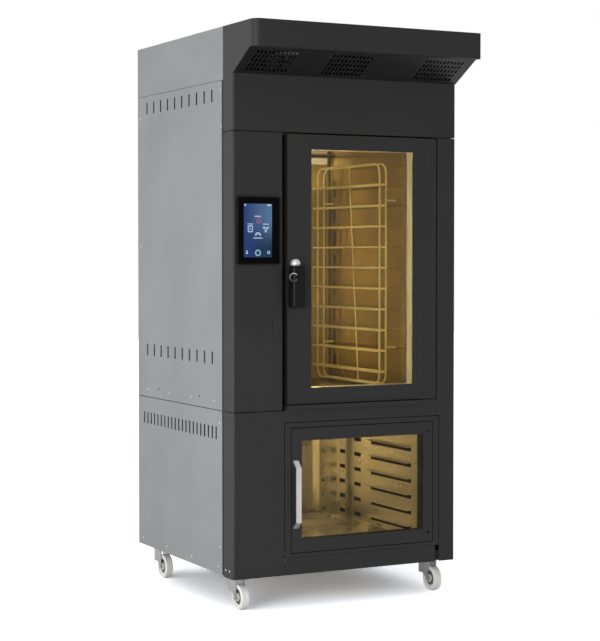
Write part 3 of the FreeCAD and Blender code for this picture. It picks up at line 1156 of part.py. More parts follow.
def castor_fork():
    """Swivel fork about the z axis, its wheel carried forward of the pivot."""
    top = CASTOR_HEIGHT - PLATE_THICK - AIR_GAP
    crown_z = top - CROWN_THICK
    inner = WHEEL_HUB_WIDTH / 2 + FORK_GAP
    outer = inner + FORK_THICK
    eye = V(0, -CASTOR_TRAIL, WHEEL_R)
    crown = Part.makeCylinder(CROWN_R, CROWN_THICK, V(0, 0, crown_z))
    saddle = box(-outer, outer, -CROWN_R, CROWN_R, crown_z - FORK_THICK, crown_z)
    pieces = [crown, saddle]
    for x0 in (-outer, inner):
        outline = [(eye.y, crown_z), (FORK_HEEL, crown_z), (FORK_HEEL, FORK_HEEL_Z), (0, FORK_HEEL_Z),
                   (eye.y + FORK_EYE_R, eye.z), (eye.y, eye.z)]
        web = prism([V(x0, y, z) for y, z in outline], V(FORK_THICK, 0, 0))
        pieces += [web, rod(V(x0, eye.y, eye.z), V(x0 + FORK_THICK, eye.y, eye.z), FORK_EYE_R)]
    reach = outer + AXLE_HEAD
    pieces.append(rod(V(-outer, eye.y, eye.z), V(outer, eye.y, eye.z), AXLE_R))
    pieces.append(rod(V(-reach, eye.y, eye.z), V(-outer, eye.y, eye.z), AXLE_HEAD_R))
    pieces.append(rod(V(outer, eye.y, eye.z), V(reach, eye.y, eye.z), AXLE_HEAD_R))
    bore = Part.makeCylinder(KINGPIN_R + RUNNING_FIT, CROWN_THICK + FORK_THICK + 2 * OVERCUT,
                             V(0, 0, crown_z - FORK_THICK - OVERCUT))
    return fuse(pieces).cut(bore)


def castors():
    """Four swivel castors: top plates with kingpins, forks and wheels."""
    fork = castor_fork()
    wheel = castor_wheel()
    plate_z = CASTOR_HEIGHT - PLATE_THICK
    dx, dy = PLATE_LENGTH / 2, PLATE_WIDTH / 2
    plate = fuse([box(-dx, dx, -dy, dy, plate_z, CASTOR_HEIGHT),
                  Part.makeCylinder(KINGPIN_R, KINGPIN_LENGTH, V(0, 0, plate_z - KINGPIN_LENGTH))])
    plates = []
    for row, y in (("front", CASTOR_INSET_Y), ("rear", BODY_DEPTH - CASTOR_INSET_Y)):
        for side, x in (("left", CASTOR_INSET_X - HALF), ("right", HALF - CASTOR_INSET_X)):
            name = row + "_" + side
            for shape, node, lift in ((fork, "castor_fork_", V(0, 0, 0)),
                                      (wheel, "castor_wheel_", V(0, -CASTOR_TRAIL, WHEEL_R))):
                placed = shape.copy()
                placed.translate(V(x, y, 0) + lift)
                save(node + name, placed)
            top = plate.copy()
            top.translate(V(x, y, 0))
            plates.append(top)
    save("castor_plates", *plates)


chassis()
side_covers()
back_and_top()
hood()
front_panels()
drip_gutter()
oven_chamber()
fan_baffle()
convection_fans()
tray_racks()
oven_door()
latch()
hinge_pins()
controls()
proofer_cabinet()
proofer_door()
castors()
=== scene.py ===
"""Finish of a bakery convection oven: coats, steel, glass, screws, screen, lamps, stage and camera."""

import math

import bmesh
import bpy
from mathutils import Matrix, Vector


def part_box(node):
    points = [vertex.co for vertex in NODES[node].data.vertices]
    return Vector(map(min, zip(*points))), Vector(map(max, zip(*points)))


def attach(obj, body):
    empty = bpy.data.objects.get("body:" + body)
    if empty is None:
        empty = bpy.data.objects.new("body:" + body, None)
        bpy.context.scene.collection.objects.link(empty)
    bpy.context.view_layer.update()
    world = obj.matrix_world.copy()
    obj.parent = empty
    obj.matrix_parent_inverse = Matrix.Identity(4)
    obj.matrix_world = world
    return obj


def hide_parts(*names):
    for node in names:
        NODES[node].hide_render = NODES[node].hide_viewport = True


bl_info = {
    "name": "Bakery oven finish",
    "version": (1, 0, 0),
    "blender": (4, 5, 0),
    "location": "View3D > Sidebar > Oven",
    "description": "Coats, steel, glass, screws, screen and stage of a bakery convection oven",
    "category": "Object",
}

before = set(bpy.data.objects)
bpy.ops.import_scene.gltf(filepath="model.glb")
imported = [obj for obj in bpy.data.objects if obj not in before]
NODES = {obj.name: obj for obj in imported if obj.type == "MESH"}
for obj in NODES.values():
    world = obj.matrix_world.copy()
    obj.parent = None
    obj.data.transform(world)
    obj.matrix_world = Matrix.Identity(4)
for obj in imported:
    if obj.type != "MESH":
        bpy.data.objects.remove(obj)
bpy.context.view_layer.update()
MM = 0.001

CHARCOAL_NODES = ("hood_canopy", "fascia_panel", "control_panel", "right_frame", "lower_front_cover",
                  "kick_plate", "proofer_surround", "oven_door_skin", "proofer_door_skin", "drip_gutter")
GREY_NODES = ("lower_side_covers", "main_side_covers", "top_side_covers", "back_cover", "top_cover")
CASTOR_CORNERS = ("front_left", "front_right", "rear_left", "rear_right")

# Noise mostly lies between these values
NOISE_SPAN = {"From Min": 0.3, "From Max": 0.7}
# Sockets of a Mix node that blends colours, and of one that blends numbers
MIX_SHARE, FIRST_COLOUR, SECOND_COLOUR, BLEND = 0, 6, 7, 2
FIRST_NUMBER, SECOND_NUMBER = 2, 3


def linear(code):
    """sRGB hex colour as linear red, green and blue."""
    parts = [int(code[i:i + 2], 16) / 255 for i in (1, 3, 5)]
    return tuple(c / 12.92 if c <= 0.04045 else ((c + 0.055) / 1.055) ** 2.4 for c in parts)


def colour(name, code, description):
    """Colour property with an sRGB hex default."""
    return bpy.props.FloatVectorProperty(name=name, description=description, subtype="COLOR", size=3,
                                         min=0.0, max=1.0, default=linear(code))


def length(name, millimetres, description):
    """Length property with a default in millimetres."""
    return bpy.props.FloatProperty(name=name, description=description, unit="LENGTH", min=0.0,
                                   default=millimetres * MM)


def share(name, value, description):
    """Number from nought to one."""
    return bpy.props.FloatProperty(name=name, description=description, subtype="FACTOR", min=0.0, max=1.0,
                                   default=value)


def power(name, watts, description):
    """Lamp power."""
    return bpy.props.FloatProperty(name=name, description=description, unit="POWER", min=0.0, default=watts)


class OvenCoats(bpy.types.PropertyGroup):
    """Powder coats of the covers."""

    charcoal: colour("Charcoal", "#262626", "Coat of the front, the hood and the doors")
    grey: colour("Grey", "#858789", "Coat of the sides, back and top")
    # The near-black primer is partly the frame's own paint and partly painted shade in the seams and behind
    # the proofer door's glass
    primer_and_shade: colour("Primer", "#0b0b0b", "Primer of the frame and the proofer door's inner cover")
    charcoal_roughness: share("Charcoal roughness", 0.52, "How matte the charcoal coat is")
    grey_roughness: share("Grey roughness", 0.42, "How matte the grey coat is")
    primer_and_shade_roughness: share("Primer roughness", 0.75, "How matte the primer is")
    peel: length("Orange peel", 6.0, "Width of ripples in the melted powder, drawn coarse enough to show")


class OvenMetals(bpy.types.PropertyGroup):
    """Bare metals of the chambers and fittings."""

    # The chamber steel's straw tint is partly real heat tint and partly painted warm lamp light
    chamber: colour("Chamber steel", "#ab965e", "Stainless steel of the oven chamber, straw-tinted by heat")
    proofer: colour("Proofer steel", "#b4ab96", "Stainless steel of the proofing chamber, hardly tinted")
    wire: colour("Rack wire", "#f3e7bc", "Drawn stainless wire of the tray racks")
    # The door liner's pale colour is painted light: it brightens the liner seen between the door's panes
    door: colour("Door liner steel", "#f9f2de", "Satin stainless steel inside the oven door")
    satin: colour("Satin steel", "#f2f1ef", "Stainless bar of the proofer door's handle")
    zinc: colour("Zinc", "#c6c6c1", "Zinc plate of castors and power box")
    # The filter steel's dark colour is partly its own dull tone and partly painted shade under the hood
    filter: colour("Filter steel", "#4a4a4b", "Perforated sheet under the hood, dark with age")


class OvenFittings(bpy.types.PropertyGroup):
    """Screws, seals, wheels and plastics."""

    screw_head: length("Screw head", 4.6, "Radius of a panel screw's head")
    screw_rise: length("Screw rise", 1.4, "Height of a panel screw's head")
    bolt_head: length("Bolt head", 6.5, "Radius across the corners of a castor bolt's head")
    bolt_rise: length("Bolt rise", 8.0, "Height of a castor bolt's head, half of it sunk in the plate")
    seal_width: length("Seal width", 20.0, "Width of the rubber seals behind the side seams")
    # The grey web in each wheel's dish is painted shade: a disc that darkens the dish's recess
    dish_rim: length("Dish rim", 29.0, "Outer radius of the grey web in a castor wheel's dish")
    dish_hub: length("Dish hub", 15.4, "Inner radius of that web, at the wheel's hub")
    nylon: colour("Nylon", "#e4e3df", "Castor wheels")
    web: colour("Wheel web", "#565654", "Web in the castor wheels' dishes")
    plastic: colour("Black plastic", "#0d0d0e", "Latch grip and screen case")


class OvenScreen(bpy.types.PropertyGroup):
    """Touch panel picture."""

    margin_left: length("Left margin", 22.5, "Black border left of the lit picture")
    margin_right: length("Right margin", 32.0, "Black border right of the lit picture")
    margin_top: length("Top margin", 24.5, "Black border above the lit picture")
    margin_foot: length("Foot margin", 24.5, "Black border below the lit picture")
    deep: colour("Deep blue", "#2c3f78", "Picture at its left edge")
    light: colour("Light blue", "#5b7a9a", "Picture at its upper right")
    dusk: colour("Dusk blue", "#25394f", "Picture at its lower right")
    icon: colour("Icon", "#a9bdd4", "Most icons")
    ring: colour("Ring", "#86bcb7", "Start ring")
    heat: colour("Heat", "#a05a70", "Heat icon")


class OvenStage(bpy.types.PropertyGroup):
    """Floor and lamps."""

    floor: colour("Floor", "#efefef", "Pale studio floor")
    lamp_tint: colour("Oven lamp tint", "#fff8ce", "Warm light inside the oven chamber")
    proofer_tint: colour("Proofer lamp tint", "#ffeec0", "Warm light inside the proofing chamber")
    ambient: share("Ambient", 0.62, "Even studio light on the object")
    floor_glow: share("Floor glow", 0.14, "White added to the floor that metal mirrors")
    pane_floor: share("Floor in panes", 0.3, "How pale the floor is that the door glass mirrors")
    floor_lift: bpy.props.FloatProperty(name="Floor lift", default=2.4, min=0.0,
                                        description="How many times paler the camera sees the floor")
    key: power("Key lamp", 160.0, "Large soft lamp at the front left")
    fill: power("Fill lamp", 17.0, "Small soft lamp low at the left")
    oven_lamp: power("Oven lamps", 12.9, "Lamps in the oven chamber")
    proofer_lamp: power("Proofer lamps", 4.2, "Lamps in the proofing chamber")


def feed(tree, node, inputs):
    """Values and links into a node's sockets."""
    for key, value in inputs.items():
        if isinstance(value, bpy.types.NodeSocket):
            tree.links.new(value, node.inputs[key])
        else:
            node.inputs[key].default_value = value
    return node


def add(tree, kind, inputs, **settings):
    """One new node with its settings, input values and links."""
    node = tree.nodes.new(kind)
    for name, value in settings.items():
        setattr(node, name, value)
    return feed(tree, node, inputs)


def rgba(values):
    """Colour with full alpha."""
    return (values[0], values[1], values[2], 1.0)


BLACK, WHITE = rgba(linear("#000000")), rgba(linear("#ffffff"))


def shade(values, factor):
    """Colour made lighter or darker."""
    return rgba([min(1.0, v * factor) for v in values])


def start_material(name, **inputs):
    """New material with its principled shader's constant inputs."""
    material = bpy.data.materials.new(name)
    material.use_nodes = True
    tree = material.node_tree
    shader = next(n for n in tree.nodes if n.type == "BSDF_PRINCIPLED")
    feed(tree, shader, {socket.replace("_", " "): value for socket, value in inputs.items()})
    return material, tree, shader


def pattern(tree, millimetres, stretch=(1, 1, 1), detail=2.0):
    """Noise of a real grain size on the piece's own coordinates, longer along axes of small stretch."""
    coords = add(tree, "ShaderNodeTexCoord", {})
    scale = Vector(stretch) / (millimetres * MM)
    mapping = add(tree, "ShaderNodeMapping", {"Vector": coords.outputs["Object"], "Scale": scale})
    noise = add(tree, "ShaderNodeTexNoise", {"Vector": mapping.outputs[0], "Scale": 1.0, "Detail": detail})
    return noise.outputs[0]


def mottle(tree, noise, dark, light):
    """Colour that drifts between two tones along a noise."""
    drift = add(tree, "ShaderNodeMapRange", {"Value": noise, **NOISE_SPAN})
    tone = add(tree, "ShaderNodeMix", {MIX_SHARE: drift.outputs[0], FIRST_COLOUR: dark, SECOND_COLOUR: light},
               data_type="RGBA")
    return tone.outputs[BLEND]


def powder_coat(name, base, roughness, peel):
    """Powder coat on sheet steel: a soft sheen, cloudy at arm's length, with fine orange peel close up."""
    material, tree, shader = start_material(name, Specular_IOR_Level=0.4)
    tone = mottle(tree, pattern(tree, 260), shade(base, 0.94), shade(base, 1.06))
    film = pattern(tree, peel / MM, detail=3.0)
    gloss = add(tree, "ShaderNodeMapRange", {"Value": film, **NOISE_SPAN, "To Min": roughness - 0.07,
                                             "To Max": roughness + 0.07})
    ripple = add(tree, "ShaderNodeBump", {"Strength": 0.3, "Distance": 0.12 * MM, "Height": film})
    feed(tree, shader, {"Base Color": tone, "Roughness": gloss.outputs[0], "Normal": ripple.outputs[0]})
    return material


def brushed_steel(name, base, roughness, grain, stretch):
    """Stainless bar: fine parallel grinding lines, a slow drift of tone, and smudges that dull it."""
    material, tree, shader = start_material(name, Metallic=1.0)
    # The lines are drawn coarser than real ones, so that they show
    tone = mottle(tree, pattern(tree, 140), shade(base, 0.9), shade(base, 1.04))
    lines = pattern(tree, grain, stretch, detail=3.0)
    gloss = add(tree, "ShaderNodeMapRange", {"Value": lines, **NOISE_SPAN, "To Min": roughness - 0.05,
                                             "To Max": roughness + 0.05})
    smudge = add(tree, "ShaderNodeMapRange", {"Value": pattern(tree, 60, detail=4.0), **NOISE_SPAN,
                                              "To Min": -0.04, "To Max": 0.06})
    dulled = add(tree, "ShaderNodeMath", {0: gloss.outputs[0], 1: smudge.outputs[0]}, operation="ADD")
    scratch = add(tree, "ShaderNodeBump", {"Strength": 0.1, "Distance": 0.01 * MM, "Height": lines})
    feed(tree, shader, {"Base Color": tone, "Roughness": dulled.outputs[0], "Normal": scratch.outputs[0]})
    return material


def heated_steel(name, base, roughness, metallic):
    """Stainless that has been through many bakes: a straw oxide film dulls its mirror, paler in places."""
    material, tree, shader = start_material(name, Metallic=metallic)
    film = pattern(tree, 180, detail=1.0)
    tone = mottle(tree, film, shade(base, 0.93), shade(base, 1.05))
    gloss = add(tree, "ShaderNodeMapRange", {"Value": film, **NOISE_SPAN, "To Min": roughness - 0.05,
                                             "To Max": roughness + 0.05})
    feed(tree, shader, {"Base Color": tone, "Roughness": gloss.outputs[0]})
    return material


def zinc_plate(name, base):
    """Zinc-plated steel: dull grey crystals of a few millimetres that catch the light differently."""
    material, tree, shader = start_material(name, Metallic=1.0)
    crystal = 7 * MM
    coords = add(tree, "ShaderNodeTexCoord", {})
    cells = add(tree, "ShaderNodeTexVoronoi", {"Vector": coords.outputs["Object"], "Scale": 1 / crystal})
    draw = add(tree, "ShaderNodeSeparateColor", {0: cells.outputs["Color"]})
    tone = add(tree, "ShaderNodeMix", {MIX_SHARE: draw.outputs[0], FIRST_COLOUR: shade(base, 0.82),
                                       SECOND_COLOUR: shade(base, 1.05)}, data_type="RGBA")
    gloss = add(tree, "ShaderNodeMapRange", {"Value": draw.outputs[1], "To Min": 0.32, "To Max": 0.5})
    bumps = add(tree, "ShaderNodeBump", {"Strength": 0.2, "Distance": 0.03 * MM, "Height": pattern(tree, 3)})
    feed(tree, shader, {"Base Color": tone.outputs[BLEND], "Roughness": gloss.outputs[0],
                        "Normal": bumps.outputs[0]})
    return material


def moulded_plastic(name, base, roughness, grain, rise=0.05, **inputs):
    """Moulded plastic or rubber: one colour through, with a spark-eroded grain and faint handling marks."""
    material, tree, shader = start_material(name, **inputs)
    marks = pattern(tree, 45, detail=4.0)
    tone = mottle(tree, marks, shade(base, 0.9), shade(base, 1.08))
    gloss = add(tree, "ShaderNodeMapRange", {"Value": marks, **NOISE_SPAN, "To Min": roughness - 0.08,
                                             "To Max": roughness + 0.08})
    # The grain is drawn coarser than a real one, so that it shows
    relief = pattern(tree, grain)
    skin = add(tree, "ShaderNodeBump", {"Strength": 0.3, "Distance": rise * MM, "Height": relief})
    feed(tree, shader, {"Base Color": tone, "Roughness": gloss.outputs[0], "Normal": skin.outputs[0]})
    return material


def polished_metal(name, base, roughness):
    """Plated or buffed metal: a clean mirror with a trace of haze where it has been wiped."""
    material, tree, shader = start_material(name, Metallic=1.0)
    haze = pattern(tree, 25, detail=4.0)
    tone = mottle(tree, haze, shade(base, 0.95), shade(base, 1.02))
    gloss = add(tree, "ShaderNodeMapRange", {"Value": haze, **NOISE_SPAN, "To Min": roughness,
                                             "To Max": roughness + 0.06})
    feed(tree, shader, {"Base Color": tone, "Roughness": gloss.outputs[0]})
    return material


def toughened_glass(name, base):
    """Toughened float glass: clear and flat, faintly smoked, with a wiped film that hardly dims it."""
    material, tree, shader = start_material(name, Transmission_Weight=1.0, IOR=1.45, Roughness=0.0,
                                            Specular_IOR_Level=0.05)
    film = pattern(tree, 90, (1, 1, 0.4), detail=4.0)
    feed(tree, shader, {"Base Color": mottle(tree, film, shade(base, 0.97), rgba(base))})
    return material


def fibre_mat(name, base):
    """Mineral wool, or a dark fibre sheet of painted shade: matted fibres, dull, with darker clumps."""
    material, tree, shader = start_material(name, Roughness=0.95, Specular_IOR_Level=0.1)
    tone = mottle(tree, pattern(tree, 18, detail=5.0), shade(base, 0.7), shade(base, 1.1))
    fibres = pattern(tree, 4, (0.2, 1, 1), detail=4.0)
    nap = add(tree, "ShaderNodeBump", {"Strength": 0.7, "Distance": 1.2 * MM, "Height": fibres})
    feed(tree, shader, {"Base Color": tone, "Normal": nap.outputs[0]})
    return material


def cast_metal(name, base, roughness):
    """Cast or pressed grey metal: matte, lightly pitted."""
    material, tree, shader = start_material(name, Metallic=1.0)
    pits = pattern(tree, 4, detail=4.0)
    tone = mottle(tree, pits, shade(base, 0.85), shade(base, 1.05))
    gloss = add(tree, "ShaderNodeMapRange", {"Value": pits, **NOISE_SPAN, "To Min": roughness - 0.08,
                                             "To Max": roughness + 0.1})
    dents = add(tree, "ShaderNodeBump", {"Strength": 0.4, "Distance": 0.15 * MM, "Height": pits})
    feed(tree, shader, {"Base Color": tone, "Roughness": gloss.outputs[0], "Normal": dents.outputs[0]})
    return material


def lit_surface(name, dark, light, strength, grain):
    """Glowing surface, a little uneven, as a diffuser or a back-lit icon is."""
    material, tree, shader = start_material(name, Base_Color=BLACK, Roughness=0.2, Emission_Strength=strength)
    feed(tree, shader, {"Emission Color": mottle(tree, pattern(tree, grain), rgba(dark), rgba(light))})
    return material


def dress(material, *nodes):
    """Give CAD nodes a finish through their own material slots."""
    for node in nodes:
        for slot in NODES[node].material_slots:
            slot.material = material


def islands(node):
    """Lowest and highest corner of each separate solid in a CAD node."""
    work = bmesh.new()
    work.from_mesh(NODES[node].data)
    bmesh.ops.remove_doubles(work, verts=work.verts, dist=1e-6)
    left = set(work.verts)
    found = []
    while left:
        group = [left.pop()]
        for vertex in group:
            for edge in vertex.link_edges:
                other = edge.other_vert(vertex)
                if other in left:
                    left.discard(other)
                    group.append(other)
        points = [v.co.copy() for v in group]
        found.append((Vector(map(min, zip(*points))), Vector(map(max, zip(*points)))))
    work.free()
    return sorted(found, key=lambda pair: tuple(round(c, 5) for c in pair[0]))


def keep_piece(piece, body, slot, *replaced):
    """Hand a finished piece to its body and hide the CAD nodes it stands for; the finish slot is not used."""
    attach(piece, body)
    if replaced:
        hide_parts(*replaced)


def link_object(name, data):
    """New object in the scene, at the origin."""
    made = bpy.data.objects.new(name, data)
    bpy.context.scene.collection.objects.link(made)
    return made


def plane_loop(bm, outline, y):
    """Vertices of a flat outline (x, z) at one depth."""
    return [bm.verts.new((x, y, z)) for x, z in outline]


def raise_outline(bm, outline, y_back, y_front, slot, hole=None):
    """Closed plate of an outline, with an optional hole that has as many points."""
    loops = [(plane_loop(bm, outline, y_front), plane_loop(bm, outline, y_back))]
    if hole:
        loops.append((plane_loop(bm, hole, y_front), plane_loop(bm, hole, y_back)))
    faces = []
    count = len(outline)
    for front, back in loops:
        faces += [bm.faces.new((front[i], front[(i + 1) % count], back[(i + 1) % count], back[i]))
                  for i in range(count)]
    if hole:
        for (outer, inner) in ((loops[0][0], loops[1][0]), (loops[0][1], loops[1][1])):
            faces += [bm.faces.new((outer[i], outer[(i + 1) % count], inner[(i + 1) % count], inner[i]))
                      for i in range(count)]
    else:
        faces += [bm.faces.new(loops[0][0]), bm.faces.new(loops[0][1])]
    for face in faces:
        face.material_index = slot


def swap_axes(bm, first, second):
    """Exchange two coordinates of everything drawn so far."""
    for vertex in bm.verts:
        vertex.co[first], vertex.co[second] = vertex.co[second], vertex.co[first]


def round_outline(x, z, radius, count=28):
    """Circle outline."""
    return [(x + radius * math.cos(2 * math.pi * i / count), z + radius * math.sin(2 * math.pi * i / count))
            for i in range(count)]


def bar_outline(x, z, width, height, corner, steps=4):
    """Rounded rectangle outline about its middle."""
    points = []
    for turn, (sx, sz) in enumerate(((1, 1), (-1, 1), (-1, -1), (1, -1))):
        for i in range(steps + 1):
            angle = math.pi / 2 * (turn + i / steps)
            points.append((x + sx * (width / 2 - corner) + corner * math.cos(angle),
                           z + sz * (height / 2 - corner) + corner * math.sin(angle)))
    return points


def close_mesh(bm, name, materials):
    """Mesh object from a bmesh with its faces turned outwards."""
    bmesh.ops.recalc_face_normals(bm, faces=bm.faces)
    mesh = bpy.data.meshes.new(name)
    bm.to_mesh(mesh)
    bm.free()
    for material in materials:
        mesh.materials.append(material)
    return link_object(name, mesh)


def tree_with_inputs(name, inputs):
    """Geometry node tree with named number inputs after its geometry."""
    tree = bpy.data.node_groups.new(name, "GeometryNodeTree")
    tree.interface.new_socket(name="Geometry", in_out="INPUT", socket_type="NodeSocketGeometry")
    for label in inputs:
        tree.interface.new_socket(name=label, in_out="INPUT", socket_type="NodeSocketFloat")
    tree.interface.new_socket(name="Geometry", in_out="OUTPUT", socket_type="NodeSocketGeometry")
    return tree, add(tree, "NodeGroupInput", {})


def scatter_heads(tree, source, head, material):
    """Put a head at every point, turned to face outwards, as one plain mesh."""
    facing = add(tree, "GeometryNodeInputNamedAttribute", {"Name": "facing"}, data_type="FLOAT_VECTOR")
    turn = add(tree, "FunctionNodeAlignRotationToVector", {"Vector": facing.outputs[0]}, axis="Z")
    placed = add(tree, "GeometryNodeInstanceOnPoints",
                 {"Points": source.outputs[0], "Instance": head, "Rotation": turn.outputs[0]})
    real = add(tree, "GeometryNodeRealizeInstances", {0: placed.outputs[0]})
    done = add(tree, "GeometryNodeSetMaterial", {0: real.outputs[0], "Material": material})
    add(tree, "NodeGroupOutput", {0: done.outputs[0]})
    return tree


def screw_tree(material):
    """Cross-head screws: a low dome less two crossed bars."""
    tree, source = tree_with_inputs("Cross-head screws", ("Head radius", "Head height"))
    radius, height = source.outputs["Head radius"], source.outputs["Head height"]
    cross_reach, cross_width = 1.1, 0.26
    ball = add(tree, "GeometryNodeMeshUVSphere", {"Segments": 20, "Rings": 10, "Radius": 1.0})
    size = add(tree, "ShaderNodeCombineXYZ", {0: radius, 1: radius, 2: height})
    dome = add(tree, "GeometryNodeTransform", {"Geometry": ball.outputs[0], "Scale": size.outputs[0]})
    reach = add(tree, "ShaderNodeMath", {0: radius, 1: cross_reach}, operation="MULTIPLY")
    width = add(tree, "ShaderNodeMath", {0: radius, 1: cross_width}, operation="MULTIPLY")
    bar = add(tree, "ShaderNodeCombineXYZ", {0: reach.outputs[0], 1: width.outputs[0], 2: height})
    lift = add(tree, "ShaderNodeCombineXYZ", {2: height})
    cut = dome.outputs[0]
    for angle in (math.pi / 4, -math.pi / 4):
        cube = add(tree, "GeometryNodeMeshCube", {"Size": bar.outputs[0]})
        turn = (0.0, 0.0, angle)
        placed = add(tree, "GeometryNodeTransform", {"Geometry": cube.outputs[0], "Rotation": turn,
                                                     "Translation": lift.outputs[0]})
        cut = add(tree, "GeometryNodeMeshBoolean", {"Mesh 1": cut, "Mesh 2": placed.outputs[0]},
                  operation="DIFFERENCE").outputs[0]
    return scatter_heads(tree, source, cut, material)


def bolt_tree(material):
    """Hexagon bolt heads."""
    tree, source = tree_with_inputs("Hexagon bolts", ("Head radius", "Head height"))
    head = add(tree, "GeometryNodeMeshCylinder", {"Vertices": 6, "Radius": source.outputs["Head radius"],
                                                  "Depth": source.outputs["Head height"]}, fill_type="NGON")
    return scatter_heads(tree, source, head.outputs[0], material)


def scattered(name, tree, places, values):
    """Plain mesh of a scatter tree run over (point, facing) places."""
    points = bpy.data.meshes.new(name + "_points")
    points.from_pydata([p for p, _ in places], [], [])
    facing = points.attributes.new("facing", "FLOAT_VECTOR", "POINT")
    facing.data.foreach_set("vector", [c for _, n in places for c in n])
    carrier = link_object(name + "_points", points)
    run = carrier.modifiers.new("Scatter", "NODES")
    run.node_group = tree
    for item in tree.interface.items_tree:
        if item.in_out == "INPUT" and item.name in values:
            run[item.identifier] = values[item.name]
    mesh = bpy.data.meshes.new_from_object(carrier.evaluated_get(bpy.context.evaluated_depsgraph_get()))
    if not mesh.polygons:
        raise RuntimeError("the scatter tree made no faces for " + name)
    bpy.data.objects.remove(carrier)
    bpy.data.meshes.remove(points)
    mesh.name = name
    return link_object(name, mesh)


class OVEN_OT_coat_covers(bpy.types.Operator):
    """Powder-coat the front, hood, doors, sides, back and top"""

    bl_idname = "oven.coat_covers"
    bl_label = "Coat covers"

    def execute(self, context):
        coats = context.scene.oven.coats
        dress(powder_coat("Charcoal powder coat", coats.charcoal, coats.charcoal_roughness, coats.peel),
              *CHARCOAL_NODES)
        dress(powder_coat("Grey powder coat", coats.grey, coats.grey_roughness, coats.peel), *GREY_NODES)
        # Partly painted shade: frame and proofer door inner cover are near black so the gaps that show them
        # read dark
        dress(powder_coat("Black frame primer", coats.primer_and_shade, coats.primer_and_shade_roughness, coats.peel),
              "chassis_frame", "proofer_door_inner")
        return {"FINISHED"}


class OVEN_OT_finish_chambers(bpy.types.Operator):
    """Finish the oven chamber, the proofing chamber and the hood filter"""

    bl_idname = "oven.finish_chambers"
    bl_label = "Finish chambers"

    def execute(self, context):
        metals = context.scene.oven.metals
        for name, base, roughness, metallic, nodes in (
                # The chamber sheets' straw colour partly paints the warm light of the chamber lamps
                ("Polished chamber sheet", metals.chamber, 0.14, 0.88, ("oven_liner",)),
                ("Satin chamber sheet", metals.chamber, 0.36, 0.5, ("fan_baffle",)),
                ("Bright proofer sheet", metals.proofer, 0.3, 0.85, ("proofer_liner", "proofer_duct")),
                ("Satin proofer sheet", metals.proofer, 0.32, 0.7, ("proofer_runners", "humidifier_pan")),
                ("Drawn stainless wire", metals.wire, 0.38, 0.3,
                 ("tray_rack_left", "tray_rack_right", "convection_fan_upper", "convection_fan_lower")),
                # Painted light: the door liner is drawn paler than its bare steel
                ("Pale door liner sheet", metals.door, 0.42, 0.3, ("oven_door_inner",))):
            dress(heated_steel(name, base, roughness, metallic), *nodes)
        # Partly painted shade: the filter's base colour is darkened for the shade under the hood
        dress(polished_metal("Perforated filter steel", metals.filter, roughness=0.36), "hood_filter")
        dress(cast_metal("Oxidised heater sheath", linear("#5b5650"), roughness=0.5), "ring_heaters")
        warm, pale = linear("#f0dcae"), linear("#fbeecb")
        dress(lit_surface("Frosted lamp lens", warm, pale, strength=1.2, grain=30.0), "oven_lamp")
        return {"FINISHED"}


class OVEN_OT_glaze_doors(bpy.types.Operator):
    """Glaze both doors and fit their seals"""

    bl_idname = "oven.glaze_doors"
    bl_label = "Glaze doors"

    def execute(self, context):
        dress(toughened_glass("Toughened float glass", linear("#dbd7c6")), "oven_door_outer_glass",
              "oven_door_inner_glass", "proofer_door_glass")
        seal = moulded_plastic("Silicone seal", linear("#2a2a2b"), roughness=0.6, grain=2.0)
        dress(seal, "oven_door_gasket", "proofer_door_gasket")
        return {"FINISHED"}


